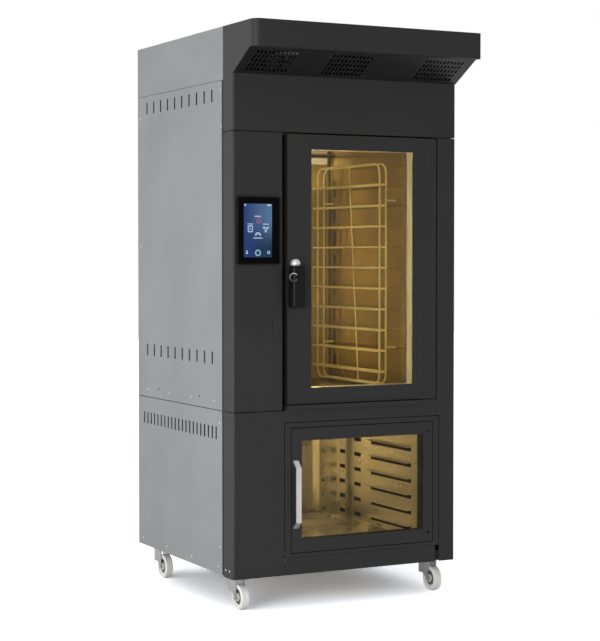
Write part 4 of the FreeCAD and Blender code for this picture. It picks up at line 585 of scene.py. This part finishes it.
class OVEN_OT_finish_fittings(bpy.types.Operator):
    """Finish the latch, handle, castors and everything behind the covers"""

    bl_idname = "oven.finish_fittings"
    bl_label = "Finish fittings"

    def execute(self, context):
        metals, fittings = context.scene.oven.metals, context.scene.oven.fittings
        black = moulded_plastic("Black glass-filled nylon", fittings.plastic, roughness=0.5, grain=1.6,
                                Specular_IOR_Level=0.25)
        dress(black, "latch_lever", "latch_keeper", "touch_panel_case", "cable_gland", "hinge_pins")
        dress(self.latch_plate(), "latch_boss")
        bar = brushed_steel("Satin stainless bar", metals.satin, roughness=0.3, grain=2.0,
                            stretch=(1, 1, 0.04))
        dress(bar, "proofer_door_handle")
        zinc = zinc_plate("Zinc-plated steel", metals.zinc)
        dress(zinc, "castor_plates", "power_box", "hood_fan_wheel",
              *["castor_fork_" + corner for corner in CASTOR_CORNERS])
        nylon = moulded_plastic("White cast nylon", fittings.nylon, roughness=0.42, grain=3.0, rise=0.08)
        dress(nylon, *["castor_wheel_" + corner for corner in CASTOR_CORNERS])
        dress(cast_metal("Die-cast aluminium", linear("#a3a6a8"), roughness=0.45), "fan_motors")
        dress(fibre_mat("Mineral wool", linear("#b8a878")), "oven_insulation")
        dress(moulded_plastic("Solder-masked circuit board", linear("#1c5a34"), roughness=0.35, grain=2.5),
              "control_board")
        return {"FINISHED"}

    def latch_plate(self):
        """Satin chrome plate: bright on the dome, with painted shade on the lock ring below it, darker
        towards its foot.
        """
        material, tree, shader = start_material("Satin chrome plate", Metallic=0.45)
        ring_foot, ring_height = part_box("latch_boss")[0].z, 34 * MM
        dome_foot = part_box("latch_lever")[1].z - 20 * MM
        coords = add(tree, "ShaderNodeTexCoord", {})
        part = add(tree, "ShaderNodeSeparateXYZ", {0: coords.outputs["Object"]})
        height = part.outputs["Z"]
        dome = add(tree, "ShaderNodeMath", {0: height, 1: dome_foot}, operation="GREATER_THAN")
        # Painted shade: the lock ring's colour darkens from grey at its top to near black at its foot
        ring_shade = add(tree, "ShaderNodeMapRange", {"Value": height, "From Min": ring_foot,
                                                "From Max": ring_foot + ring_height})
        ring = add(tree, "ShaderNodeMix", {MIX_SHARE: ring_shade.outputs[0], FIRST_COLOUR: rgba(linear("#1c1c1c")),
                                           SECOND_COLOUR: rgba(linear("#8e8e8e"))}, data_type="RGBA")
        tone = add(tree, "ShaderNodeMix", {MIX_SHARE: dome.outputs[0], FIRST_COLOUR: ring.outputs[BLEND],
                                           SECOND_COLOUR: rgba(linear("#f6f6f6"))}, data_type="RGBA")
        gloss = add(tree, "ShaderNodeMapRange", {"Value": pattern(tree, 25, detail=4.0), **NOISE_SPAN,
                                                 "To Min": 0.34, "To Max": 0.4})
        feed(tree, shader, {"Base Color": tone.outputs[BLEND], "Roughness": gloss.outputs[0]})
        return material


class OVEN_OT_drive_screws(bpy.types.Operator):
    """Drive cross-head screws into the covers and bolts into the castor plates"""

    bl_idname = "oven.drive_screws"
    bl_label = "Drive screws"

    def execute(self, context):
        looks = context.scene.oven
        fittings = looks.fittings
        heads = {"Head radius": fittings.screw_head, "Head height": fittings.screw_rise}
        bright = screw_tree(polished_metal("Nickel-plated screw", linear("#d9dadb"), roughness=0.2))
        keep_piece(scattered("cover_screws", bright, self.cover_places(), heads), "cabinet", "satin_steel",
                   "panel_screws")
        dark = screw_tree(moulded_plastic("Blackened screw", linear("#030303"), roughness=0.8, grain=1.5,
                                          Specular_IOR_Level=0.08))
        hinge_places = []
        for low, high in islands("proofer_door_screws"):
            middle = (low + high) / 2
            hinge_places.append(((middle.x, low.y + fittings.screw_rise, middle.z), (0.0, -1.0, 0.0)))
        keep_piece(scattered("hinge_screws", dark, hinge_places, heads), "proofer_door", "black_plastic",
                   "proofer_door_screws")
        low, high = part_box("main_side_covers")
        rivet_height, rivet_depths = low.z + 40 * MM, (-70.3 * MM, 350.1 * MM)
        rivets = [((x, y, rivet_height), (side, 0.0, 0.0))
                  for x, side in ((low.x, -1.0), (high.x, 1.0)) for y in rivet_depths]
        grey = screw_tree(cast_metal("Dull rivet", linear("#6d6f71"), roughness=0.6))
        keep_piece(scattered("cover_rivets", grey, rivets, heads), "cabinet", "satin_steel")
        zinc = bolt_tree(zinc_plate("Zinc-plated bolt", looks.metals.zinc))
        heads = {"Head radius": fittings.bolt_head, "Head height": fittings.bolt_rise}
        keep_piece(scattered("castor_bolts", zinc, self.bolt_places(), heads), "cabinet", "zinc_steel")
        return {"FINISHED"}

    def cover_places(self):
        """Screws of the side covers, where the CAD has them, and along the edges of the back and the top."""
        places = []
        for low, high in islands("panel_screws"):
            middle = (low + high) / 2
            side, face = (-1.0, low.x) if middle.x < 0 else (1.0, high.x)
            places.append(((face, middle.y, middle.z), (side, 0.0, 0.0)))
        inset = 16 * MM
        low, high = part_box("back_cover")
        rows = 8
        for i in range(rows):
            z = low.z + inset + (high.z - low.z - 2 * inset) * i / (rows - 1)
            places += [((x, high.y, z), (0.0, 1.0, 0.0)) for x in (low.x + inset, high.x - inset)]
        low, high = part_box("top_cover")
        rows, front_inset = 4, 4 * inset
        for i in range(rows):
            y = low.y + front_inset + (high.y - low.y - front_inset - inset) * i / (rows - 1)
            places += [((x, y, high.z), (0.0, 0.0, 1.0)) for x in (low.x + inset, high.x - inset)]
        return places

    def bolt_places(self):
        """Four bolts up into each castor plate."""
        plate, inset_x, inset_y = 4 * MM, 11 * MM, 10 * MM
        places = []
        for low, high in islands("castor_plates"):
            for x in (low.x + inset_x, high.x - inset_x):
                for y in (low.y + inset_y, high.y - inset_y):
                    places.append(((x, y, high.z - plate), (0.0, 0.0, -1.0)))
        return places


class OVEN_OT_seal_seams(bpy.types.Operator):
    """Press rubber seals into the seams beside the side covers and above the proofer"""

    bl_idname = "oven.seal_seams"
    bl_label = "Seal seams"

    def execute(self, context):
        width = context.scene.oven.fittings.seal_width
        rubber = moulded_plastic("Extruded black rubber", linear("#0b0b0b"), roughness=0.7, grain=2.5,
                                 Specular_IOR_Level=0.2)
        sheet, wall, clear = 1.7 * MM, 1.4 * MM, 4 * MM
        bead_top, bead_foot = 2 * MM, 3 * MM
        crown = sheet - wall * 0.8
        bm = bmesh.new()
        for cover in ("lower_side_covers", "main_side_covers"):
            low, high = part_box(cover)
            near, middle, far = low.y - width * 0.75, low.y - width * 0.3, low.y + width * 0.2
            for side, face in ((-1, low.x), (1, high.x)):
                section = ((sheet, near), (sheet, middle - bead_foot), (crown, middle - bead_top),
                           (crown, middle + bead_top), (sheet, middle + bead_foot), (sheet, far),
                           (sheet + wall, far), (sheet + wall, near))
                outline = [(face - side * depth, y) for depth, y in section]
                raise_outline(bm, outline, low.z + clear, high.z - clear, 0)
        # The side seals are drawn in plan, so their y and z change places
        swap_axes(bm, 1, 2)
        low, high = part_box("proofer_surround")
        header_width, header_height, rise, corner = high.x - low.x - 2 * clear, 14 * MM, 1 * MM, 1 * MM
        header = bar_outline((low.x + high.x) / 2, high.z + rise, header_width, header_height, corner)
        raise_outline(bm, header, low.y + sheet + wall, low.y + sheet, 0)
        keep_piece(close_mesh(bm, "seam_seals", [rubber]), "cabinet", "silicone")
        return {"FINISHED"}


class OVEN_OT_line_slots(bpy.types.Operator):
    """Fold steel lips round the air slots of the proofing chamber and lay a dark sheet of painted shade
    behind them
    """

    bl_idname = "oven.line_slots"
    bl_label = "Line slots"

    def execute(self, context):
        metals = context.scene.oven.metals
        steel = heated_steel("Slot lip steel", metals.proofer, roughness=0.32, metallic=0.7)
        # Painted shade: the dark fibre sheet behind the slots stands in for the shade inside them
        slot_shade_sheet = fibre_mat("Dark slot shade sheet", linear("#120d06"))
        wall, lip, shade_depth, edge = 1.5 * MM, 0.8 * MM, 4.0 * MM, 5.0 * MM
        drop, slot_height, open_height = 1.0 * MM, 25.0 * MM, 17.0 * MM
        lip_corner, shade_corner = 0.5 * MM, 2 * MM
        runs = ((3 * MM, 337 * MM), (425 * MM, 485 * MM), (565 * MM, 615 * MM))
        low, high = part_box("proofer_runners")
        bm = bmesh.new()
        for side, face in ((-1, low.x - wall), (1, high.x + wall)):
            levels = [a.z for a, b in islands("proofer_runners")
                      if (a.x + b.x > low.x + high.x) == (side > 0)]
            for level in levels:
                foot, top = level - drop - slot_height - edge, level - drop - open_height
                for near, far in runs:
                    middle, width = low.y + (near + far) / 2, far - near + 2 * edge
                    strip = bar_outline(middle, (foot + top) / 2, width, top - foot, lip_corner)
                    raise_outline(bm, strip, face, face + side * lip, 0)
            foot, top = min(levels) - drop - slot_height - 2 * edge, max(levels) + edge
            reach = runs[-1][1]
            sheet = bar_outline(low.y + reach / 2, (foot + top) / 2, reach + 2 * edge, top - foot, shade_corner)
            raise_outline(bm, sheet, face + side * lip, face + side * (lip + shade_depth), 1)
        # Lips and the shade sheet are drawn as seen from the side, so their x and y change places
        swap_axes(bm, 0, 1)
        keep_piece(close_mesh(bm, "slot_linings", [steel, slot_shade_sheet]), "cabinet", "satin_steel")
        return {"FINISHED"}


class OVEN_OT_shade_wheel_dishes(bpy.types.Operator):
    """Set grey discs of painted shade into the dishes of the castor wheels"""

    bl_idname = "oven.web_wheels"
    bl_label = "Shade wheel dishes"

    def execute(self, context):
        fittings = context.scene.oven.fittings
        # Painted shade: grey discs darken the wheels' dishes
        grey = moulded_plastic("Grey painted dish shade", fittings.web, roughness=0.6, grain=2.0)
        dish, sink, rise, sides = 10.0 * MM, 0.4 * MM, 0.8 * MM, 32
        for corner in CASTOR_CORNERS:
            low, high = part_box("castor_wheel_" + corner)
            middle = (low + high) / 2
            rim = round_outline(middle.y, middle.z, fittings.dish_rim, sides)
            hub = round_outline(middle.y, middle.z, fittings.dish_hub, sides)
            bm = bmesh.new()
            for side in (-1, 1):
                back, front = middle.x + side * (dish - sink), middle.x + side * (dish + rise)
                raise_outline(bm, rim, back, front, 0, hub)
            # The dish shade discs are drawn as seen from the side, so their x and y change places
            swap_axes(bm, 0, 1)
            keep_piece(close_mesh(bm, "wheel_dish_shade_" + corner, [grey]), "wheel_" + corner, "white_nylon")
        return {"FINISHED"}


class OVEN_OT_light_screen(bpy.types.Operator):
    """Light the touch panel and draw its plain icons"""

    bl_idname = "oven.light_screen"
    bl_label = "Light screen"

    def execute(self, context):
        screen = context.scene.oven.screen
        dress(self.cover_glass(), "touch_panel_glass")
        low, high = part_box("touch_panel_glass")
        x0, x1 = low.x + screen.margin_left, high.x - screen.margin_right
        z0, z1 = low.z + screen.margin_foot, high.z - screen.margin_top
        face = low.y
        back, front = face + 0.2 * MM, face - 0.1 * MM
        corner, sensor, sensor_drop = 1.5 * MM, 2.2 * MM, 10 * MM
        bm = bmesh.new()
        raise_outline(bm, bar_outline((x0 + x1) / 2, (z0 + z1) / 2, x1 - x0, z1 - z0, corner), back, front, 0)
        raise_outline(bm, round_outline((x0 + 2 * x1) / 3, high.z - sensor_drop, sensor), back, front, 1)
        window = moulded_plastic("Light sensor window", linear("#1b2026"), roughness=0.15, grain=1.0)
        picture = close_mesh(bm, "screen_picture", [self.picture(screen, x0, x1, z0, z1), window])
        keep_piece(picture, "cabinet", "screen_glass")
        icons = [lit_surface("Pale icon", screen.icon, shade(screen.icon, 1.1), strength=0.95, grain=40.0),
                 lit_surface("Start ring", screen.ring, shade(screen.ring, 1.15), strength=0.9, grain=20.0),
                 lit_surface("Heat icon", screen.heat, shade(screen.heat, 1.2), strength=0.9, grain=20.0)]
        keep_piece(self.icons((x0, x1, z0, z1), face, icons), "cabinet", "screen_glass")
        return {"FINISHED"}

    def cover_glass(self):
        """Black-backed display glass: a deep gloss with faint fingermarks."""
        material, tree, shader = start_material("Black display glass", Base_Color=rgba(linear("#070707")),
                                                Specular_IOR_Level=0.06)
        marks = pattern(tree, 22, detail=4.0)
        gloss = add(tree, "ShaderNodeMapRange", {"Value": marks, "From Min": 0.4, "From Max": 0.75,
                                                 "To Min": 0.05, "To Max": 0.2})
        feed(tree, shader, {"Roughness": gloss.outputs[0]})
        return material

    def picture(self, screen, x0, x1, z0, z1):
        """Back-lit picture: deep blue at the left, paler to the upper right, dim at the lower right."""
        material, tree, shader = start_material("Lit screen picture", Base_Color=BLACK, Roughness=0.12,
                                                Specular_IOR_Level=0.1, Emission_Strength=0.9)
        coords = add(tree, "ShaderNodeTexCoord", {})
        part = add(tree, "ShaderNodeSeparateXYZ", {0: coords.outputs["Object"]})
        across = add(tree, "ShaderNodeMapRange", {"Value": part.outputs["X"], "From Min": x0, "From Max": x1})
        cloud, sway = pattern(tree, 60), 0.24
        drift = add(tree, "ShaderNodeMath", {0: cloud, 1: sway, 2: -sway / 2}, operation="MULTIPLY_ADD")
        uneven = add(tree, "ShaderNodeMath", {0: across.outputs[0], 1: drift.outputs[0]}, operation="ADD",
                     use_clamp=True)
        dim_below, pale_above = z0 + 0.15 * (z1 - z0), z0 + 0.75 * (z1 - z0)
        up = add(tree, "ShaderNodeMapRange", {"Value": part.outputs["Z"], "From Min": dim_below,
                                              "From Max": pale_above}, interpolation_type="SMOOTHSTEP")
        right = add(tree, "ShaderNodeMix", {MIX_SHARE: up.outputs[0], FIRST_COLOUR: rgba(screen.dusk),
                                            SECOND_COLOUR: rgba(screen.light)}, data_type="RGBA")
        whole = add(tree, "ShaderNodeMix", {MIX_SHARE: uneven.outputs[0], FIRST_COLOUR: rgba(screen.deep),
                                            SECOND_COLOUR: right.outputs[BLEND]}, data_type="RGBA")
        feed(tree, shader, {"Emission Color": whole.outputs[BLEND]})
        return material

    def icons(self, picture, face, materials):
        """Plain marks for heat, oven, fan, cover, start and settings, with bars where words would be."""
        x0, x1, z0, z1 = picture
        back, front = face + 0.1 * MM, face - 0.25 * MM
        pale, start, heat = 0, 1, 2
        bm = bmesh.new()

        def at(u, v):
            return x0 + (x1 - x0) * u, z0 + (z1 - z0) * v

        def disc(u, v, radius):
            raise_outline(bm, round_outline(*at(u, v), radius * MM), back, front, pale)

        def ring(u, v, outer, inner, slot):
            raise_outline(bm, round_outline(*at(u, v), outer * MM), back, front, slot,
                          round_outline(*at(u, v), inner * MM))

        def moved(u, v, points):
            x, z = at(u, v)
            return [(x + px * MM, z + pz * MM) for px, pz in points]

        disc(0.05, 0.975, 4)
        bars = ((0.9, 0.975, 19, 6), (0.5, 0.765, 28, 4), (0.23, 0.62, 26, 3.5), (0.78, 0.62, 26, 3.5),
                (0.5, 0.36, 40, 4), (0.11, 0.1, 6, 12), (0.11, 0.07, 9, 3))
        for u, v, width, height in bars:
            corner = min(width, height) * MM * 0.45
            raise_outline(bm, bar_outline(*at(u, v), width * MM, height * MM, corner), back, front, pale)
        flame = [(0, 13), (5, 6), (4, 2), (8, 4), (9, -3), (6, -9), (0, -12), (-6, -9), (-9, -3), (-7, 3),
                 (-3, 6)]
        hollow = [(px * 0.62, pz * 0.62 - 1) for px, pz in flame]
        raise_outline(bm, moved(0.51, 0.69, flame), back, front, heat, moved(0.51, 0.69, hollow))
        oven = at(0.23, 0.53)
        raise_outline(bm, bar_outline(*oven, 22 * MM, 26 * MM, 4 * MM), back, front, pale,
                      bar_outline(*oven, 14 * MM, 17 * MM, 2 * MM))
        disc(0.23, 0.53, 3)
        blade = [(2, -2.6), (8, -5), (13, -3), (13.5, 2.5), (8, 4.5), (2, 2.6)]
        for turn in range(3):
            angle = 2 * math.pi * turn / 3 + 0.5
            c, s = math.cos(angle), math.sin(angle)
            turned = [(px * c - pz * s, px * s + pz * c) for px, pz in blade]
            raise_outline(bm, moved(0.78, 0.53, turned), back, front, pale)
        angles = [math.pi * i / 12 for i in range(13)]
        dome = [(-13 * math.cos(a), 13 * math.sin(a)) for a in angles]
        hollow = [(-6 * math.cos(a), 6.5 * math.sin(a)) for a in reversed(angles)]
        raise_outline(bm, moved(0.5, 0.405, dome + hollow), back, front, pale)
        ring(0.5, 0.083, 12.5, 7.5, start)
        ring(0.88, 0.09, 6.5, 3.0, pale)
        return close_mesh(bm, "screen_icons", materials)


class OVEN_OT_fit_flap(bpy.types.Operator):
    """Fit the small port flap on the control panel"""

    bl_idname = "oven.fit_flap"
    bl_label = "Fit flap"

    def execute(self, context):
        coats = context.scene.oven.coats
        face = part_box("control_panel")[0].y
        middle_x, middle_z = -318.5 * MM, 1107 * MM
        width, height, corner = 29 * MM, 55 * MM, 3 * MM
        margin, shift, flap_corner = 3.2 * MM, 1 * MM, 2 * MM
        bm = bmesh.new()
        shadow = bar_outline(middle_x, middle_z, width, height, corner)
        raise_outline(bm, shadow, face + 0.3 * MM, face - 0.25 * MM, 0)
        flap = bar_outline(middle_x + shift, middle_z, width - margin, height - margin, flap_corner)
        raise_outline(bm, flap, face - 0.2 * MM, face - 1.1 * MM, 1)
        gap = moulded_plastic("Flap gap shadow", linear("#0a0a0b"), roughness=0.7, grain=1.5)
        coat = powder_coat("Charcoal flap coat", coats.charcoal, coats.charcoal_roughness, coats.peel)
        keep_piece(close_mesh(bm, "port_flap", [gap, coat]), "cabinet", "charcoal_coat")
        return {"FINISHED"}


class OVEN_OT_light_chambers(bpy.types.Operator):
    """Hang warm lamps inside the oven and the proofing chamber"""

    bl_idname = "oven.light_chambers"
    bl_label = "Light chambers"

    def execute(self, context):
        stage = context.scene.oven.stage
        self.light_oven(stage.oven_lamp, stage.lamp_tint)
        self.light_proofer(stage.proofer_lamp, stage.proofer_tint)
        return {"FINISHED"}

    def light_oven(self, watts, tone):
        """Strip at the front left, a small lamp before the lens, and a strip between the door's panes."""
        low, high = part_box("fan_baffle")
        middle_z = (low.z + high.z) / 2
        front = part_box("oven_liner")[0].y + 25 * MM
        front_left = (low.x + 10 * MM, front, middle_z)
        self.strip("Oven front strip", front_left, (90, 0, -50), (0.03, 0.9), watts * 0.7, tone)
        low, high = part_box("oven_lamp")
        by_lens = ((low.x + high.x) / 2, low.y - 4 * MM, (low.z + high.z) / 2)
        self.strip("Oven back lamp", by_lens, (-40, 0, 0), (0.07, 0.02), watts * 0.1, tone, mirrored=False)
        outer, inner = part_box("oven_door_outer_glass"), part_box("oven_door_inner_glass")
        between = (outer[0].x + 26 * MM, (outer[1].y + inner[0].y) / 2, middle_z)
        self.strip("Door strip", between, (90, 0, -90), (0.01, 0.9), watts * 0.15, tone)

    def light_proofer(self, watts, tone):
        """Strip under the ceiling, a broad one at the front left, and a faint glow at the right stile."""
        low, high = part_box("proofer_runners")
        middle = (low + high) / 2
        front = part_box("proofer_liner")[0].y + 28 * MM
        left = low.x + 60 * MM
        self.strip("Proofer ceiling strip", (left, middle.y, high.z + 55 * MM), (0, -35, 0), (0.02, 0.5),
                   watts * 0.34, tone)
        self.strip("Proofer front strip", (left, front, middle.z), (90, 0, -10), (0.12, 0.38),
                   watts * 0.5, tone)
        self.strip("Proofer stile glow", (high.x - 46 * MM, front, middle.z), (90, 0, 12), (0.085, 0.38),
                   watts * 0.02, tone)

    def strip(self, name, place, turn, size, watts, tone, mirrored=True):
        """Warm area lamp that the camera doesn't see itself, and polished walls need not mirror."""
        data = bpy.data.lights.new(name, "AREA")
        data.shape = "RECTANGLE"
        data.size, data.size_y = size
        data.energy = watts
        data.color = tone
        lamp = link_object(name, data)
        lamp.location = place
        lamp.rotation_euler = [math.radians(angle) for angle in turn]
        lamp.visible_camera = False
        lamp.visible_transmission = False
        lamp.visible_glossy = mirrored


class OVEN_OT_set_stage(bpy.types.Operator):
    """Lay the floor and set the studio light and the camera"""

    bl_idname = "oven.set_stage"
    bl_label = "Set stage"

    def execute(self, context):
        stage = context.scene.oven.stage
        self.floor(stage)
        self.world(stage)
        self.soft_lamp("Key lamp", (-4.2, -3.2, 0.9), (0.0, 0.0, 1.1), 2.8, stage.key)
        self.soft_lamp("Fill lamp", (-3.4, 0.4, 0.5), (-0.5, 0.1, 0.35), 0.9, stage.fill)
        self.camera()
        context.scene.view_settings.view_transform = "Standard"
        return {"FINISHED"}

    def ray_kinds(self, tree):
        """Light path, whether a ray is still unmirrored, and whether the camera then looks along it."""
        path = add(tree, "ShaderNodeLightPath", {})
        mirrors, camera = path.outputs["Glossy Depth"], path.outputs["Is Camera Ray"]
        through = path.outputs["Is Transmission Ray"]
        straight = add(tree, "ShaderNodeMath", {0: mirrors, 1: 0.5}, operation="LESS_THAN").outputs[0]
        direct = add(tree, "ShaderNodeMath", {0: camera, 1: through}, operation="MAXIMUM").outputs[0]
        seen = add(tree, "ShaderNodeMath", {0: direct, 1: straight}, operation="MULTIPLY").outputs[0]
        return path, straight, seen

    def floor(self, stage):
        """Pale matte floor: white to the camera, with the shadow kept, and dim in the door glass."""
        bm = bmesh.new()
        bmesh.ops.create_grid(bm, x_segments=1, y_segments=1, size=20.0)
        mesh = bpy.data.meshes.new("floor")
        bm.to_mesh(mesh)
        bm.free()
        piece = link_object("floor", mesh)
        material = bpy.data.materials.new("Pale studio floor")
        material.use_nodes = True
        tree = material.node_tree
        tree.nodes.clear()
        path, straight, seen = self.ray_kinds(tree)
        # Glass mirrors without blur, which makes its rays singular
        singular, glossy = path.outputs["Is Singular Ray"], path.outputs["Is Glossy Ray"]
        in_glass = add(tree, "ShaderNodeMath", {0: singular, 1: straight}, operation="SUBTRACT",
                       use_clamp=True).outputs[0]
        in_metal = add(tree, "ShaderNodeMath", {0: glossy, 1: in_glass}, operation="SUBTRACT",
                       use_clamp=True).outputs[0]
        glow = add(tree, "ShaderNodeMath", {0: in_metal, 1: stage.floor_glow}, operation="MULTIPLY")
        grain = add(tree, "ShaderNodeTexNoise", {"Scale": 3.0, "Detail": 2.0})
        tone = add(tree, "ShaderNodeMix", {MIX_SHARE: grain.outputs[0], SECOND_COLOUR: rgba(stage.floor),
                                           FIRST_COLOUR: shade(stage.floor, 0.98)}, data_type="RGBA")
        cool_white = [stage.floor_lift * part for part in (0.98, 1.0, 1.04)]
        lifted = add(tree, "ShaderNodeMix", {MIX_SHARE: seen, FIRST_COLOUR: tone.outputs[BLEND],
                                             SECOND_COLOUR: rgba(cool_white)}, data_type="RGBA")
        dim = shade(stage.floor, stage.pane_floor)
        dimmed = add(tree, "ShaderNodeMix", {MIX_SHARE: in_glass, FIRST_COLOUR: lifted.outputs[BLEND],
                                             SECOND_COLOUR: dim}, data_type="RGBA")
        matte = add(tree, "ShaderNodeBsdfDiffuse", {0: dimmed.outputs[BLEND]})
        light = add(tree, "ShaderNodeEmission", {"Strength": glow.outputs[0]})
        both = add(tree, "ShaderNodeAddShader", {0: matte.outputs[0], 1: light.outputs[0]})
        add(tree, "ShaderNodeOutputMaterial", {0: both.outputs[0]})
        mesh.materials.append(material)

    def world(self, stage):
        """Even studio light; white to the camera and in reflections of what lies behind, dim in front."""
        world = bpy.data.worlds.new("Studio")
        bpy.context.scene.world = world
        world.use_nodes = True
        tree = world.node_tree
        tree.nodes.clear()
        path, _, seen = self.ray_kinds(tree)
        coords = add(tree, "ShaderNodeTexCoord", {})
        part = add(tree, "ShaderNodeSeparateXYZ", {0: coords.outputs["Generated"]})
        behind = add(tree, "ShaderNodeMapRange", {"Value": part.outputs["Y"], "From Min": -0.5,
                                                  "From Max": 0.1, "To Min": 0.3, "To Max": 1.0})
        glossy = path.outputs["Is Glossy Ray"]
        soft = add(tree, "ShaderNodeMix", {MIX_SHARE: glossy, FIRST_NUMBER: stage.ambient,
                                           SECOND_NUMBER: behind.outputs[0]}, data_type="FLOAT")
        strength = add(tree, "ShaderNodeMix", {MIX_SHARE: seen, FIRST_NUMBER: soft.outputs[0],
                                               SECOND_NUMBER: 1.0}, data_type="FLOAT")
        sky = add(tree, "ShaderNodeBackground", {"Color": WHITE, "Strength": strength.outputs[0]})
        add(tree, "ShaderNodeOutputWorld", {0: sky.outputs[0]})

    def soft_lamp(self, name, place, target, size, watts):
        """Soft square lamp aimed at a point on the oven."""
        data = bpy.data.lights.new(name, "AREA")
        data.size = size
        data.energy = watts
        lamp = link_object(name, data)
        lamp.location = place
        lamp.rotation_euler = (Vector(target) - Vector(place)).to_track_quat("-Z", "Y").to_euler()
        lamp.visible_camera = False

    def camera(self):
        """Camera where the photograph was taken from."""
        data = bpy.data.cameras.new("Camera")
        data.lens = 96.68
        data.sensor_width = 36.0
        data.shift_y = -0.0208
        camera = link_object("Camera", data)
        camera.location = (-3.2872, -6.3503, 1.3817)
        camera.rotation_euler = (math.radians(88.256), 0.0, math.radians(-27.284))
        bpy.context.scene.camera = camera


class OvenLooks(bpy.types.PropertyGroup):
    """All the oven's settings."""

    coats: bpy.props.PointerProperty(type=OvenCoats, name="Coats", description="Powder coats")
    metals: bpy.props.PointerProperty(type=OvenMetals, name="Metals", description="Bare metals")
    fittings: bpy.props.PointerProperty(type=OvenFittings, name="Fittings", description="Screws and wheels")
    screen: bpy.props.PointerProperty(type=OvenScreen, name="Screen", description="Touch panel picture")
    stage: bpy.props.PointerProperty(type=OvenStage, name="Stage", description="Floor and lamps")


STEPS = (OVEN_OT_coat_covers, OVEN_OT_finish_chambers, OVEN_OT_glaze_doors, OVEN_OT_finish_fittings,
         OVEN_OT_drive_screws, OVEN_OT_seal_seams, OVEN_OT_line_slots, OVEN_OT_shade_wheel_dishes,
         OVEN_OT_light_screen, OVEN_OT_fit_flap, OVEN_OT_light_chambers, OVEN_OT_set_stage)


class OVEN_PT_finish(bpy.types.Panel):
    """Sizes and colours of the oven, and the steps that use them."""

    bl_idname = "OVEN_PT_finish"
    bl_label = "Bakery oven"
    bl_space_type = "VIEW_3D"
    bl_region_type = "UI"
    bl_category = "Oven"

    def draw(self, context):
        looks = context.scene.oven
        for group in ("coats", "metals", "fittings", "screen", "stage"):
            column = self.layout.column(align=True)
            column.label(text=group.capitalize())
            settings = getattr(looks, group)
            for name in settings.__annotations__:
                column.prop(settings, name)
        for step in STEPS:
            self.layout.operator(step.bl_idname)


CLASSES = (OvenCoats, OvenMetals, OvenFittings, OvenScreen, OvenStage, OvenLooks) + STEPS + (OVEN_PT_finish,)


def register():
    for kind in CLASSES:
        bpy.utils.register_class(kind)
    bpy.types.Scene.oven = bpy.props.PointerProperty(type=OvenLooks, name="Oven", description="Oven settings")


def unregister():
    del bpy.types.Scene.oven
    for kind in reversed(CLASSES):
        bpy.utils.unregister_class(kind)


def main():
    register()
    for step in STEPS:
        group, name = step.bl_idname.split(".")
        getattr(getattr(bpy.ops, group), name)()


if __name__ == "__main__":
    main()
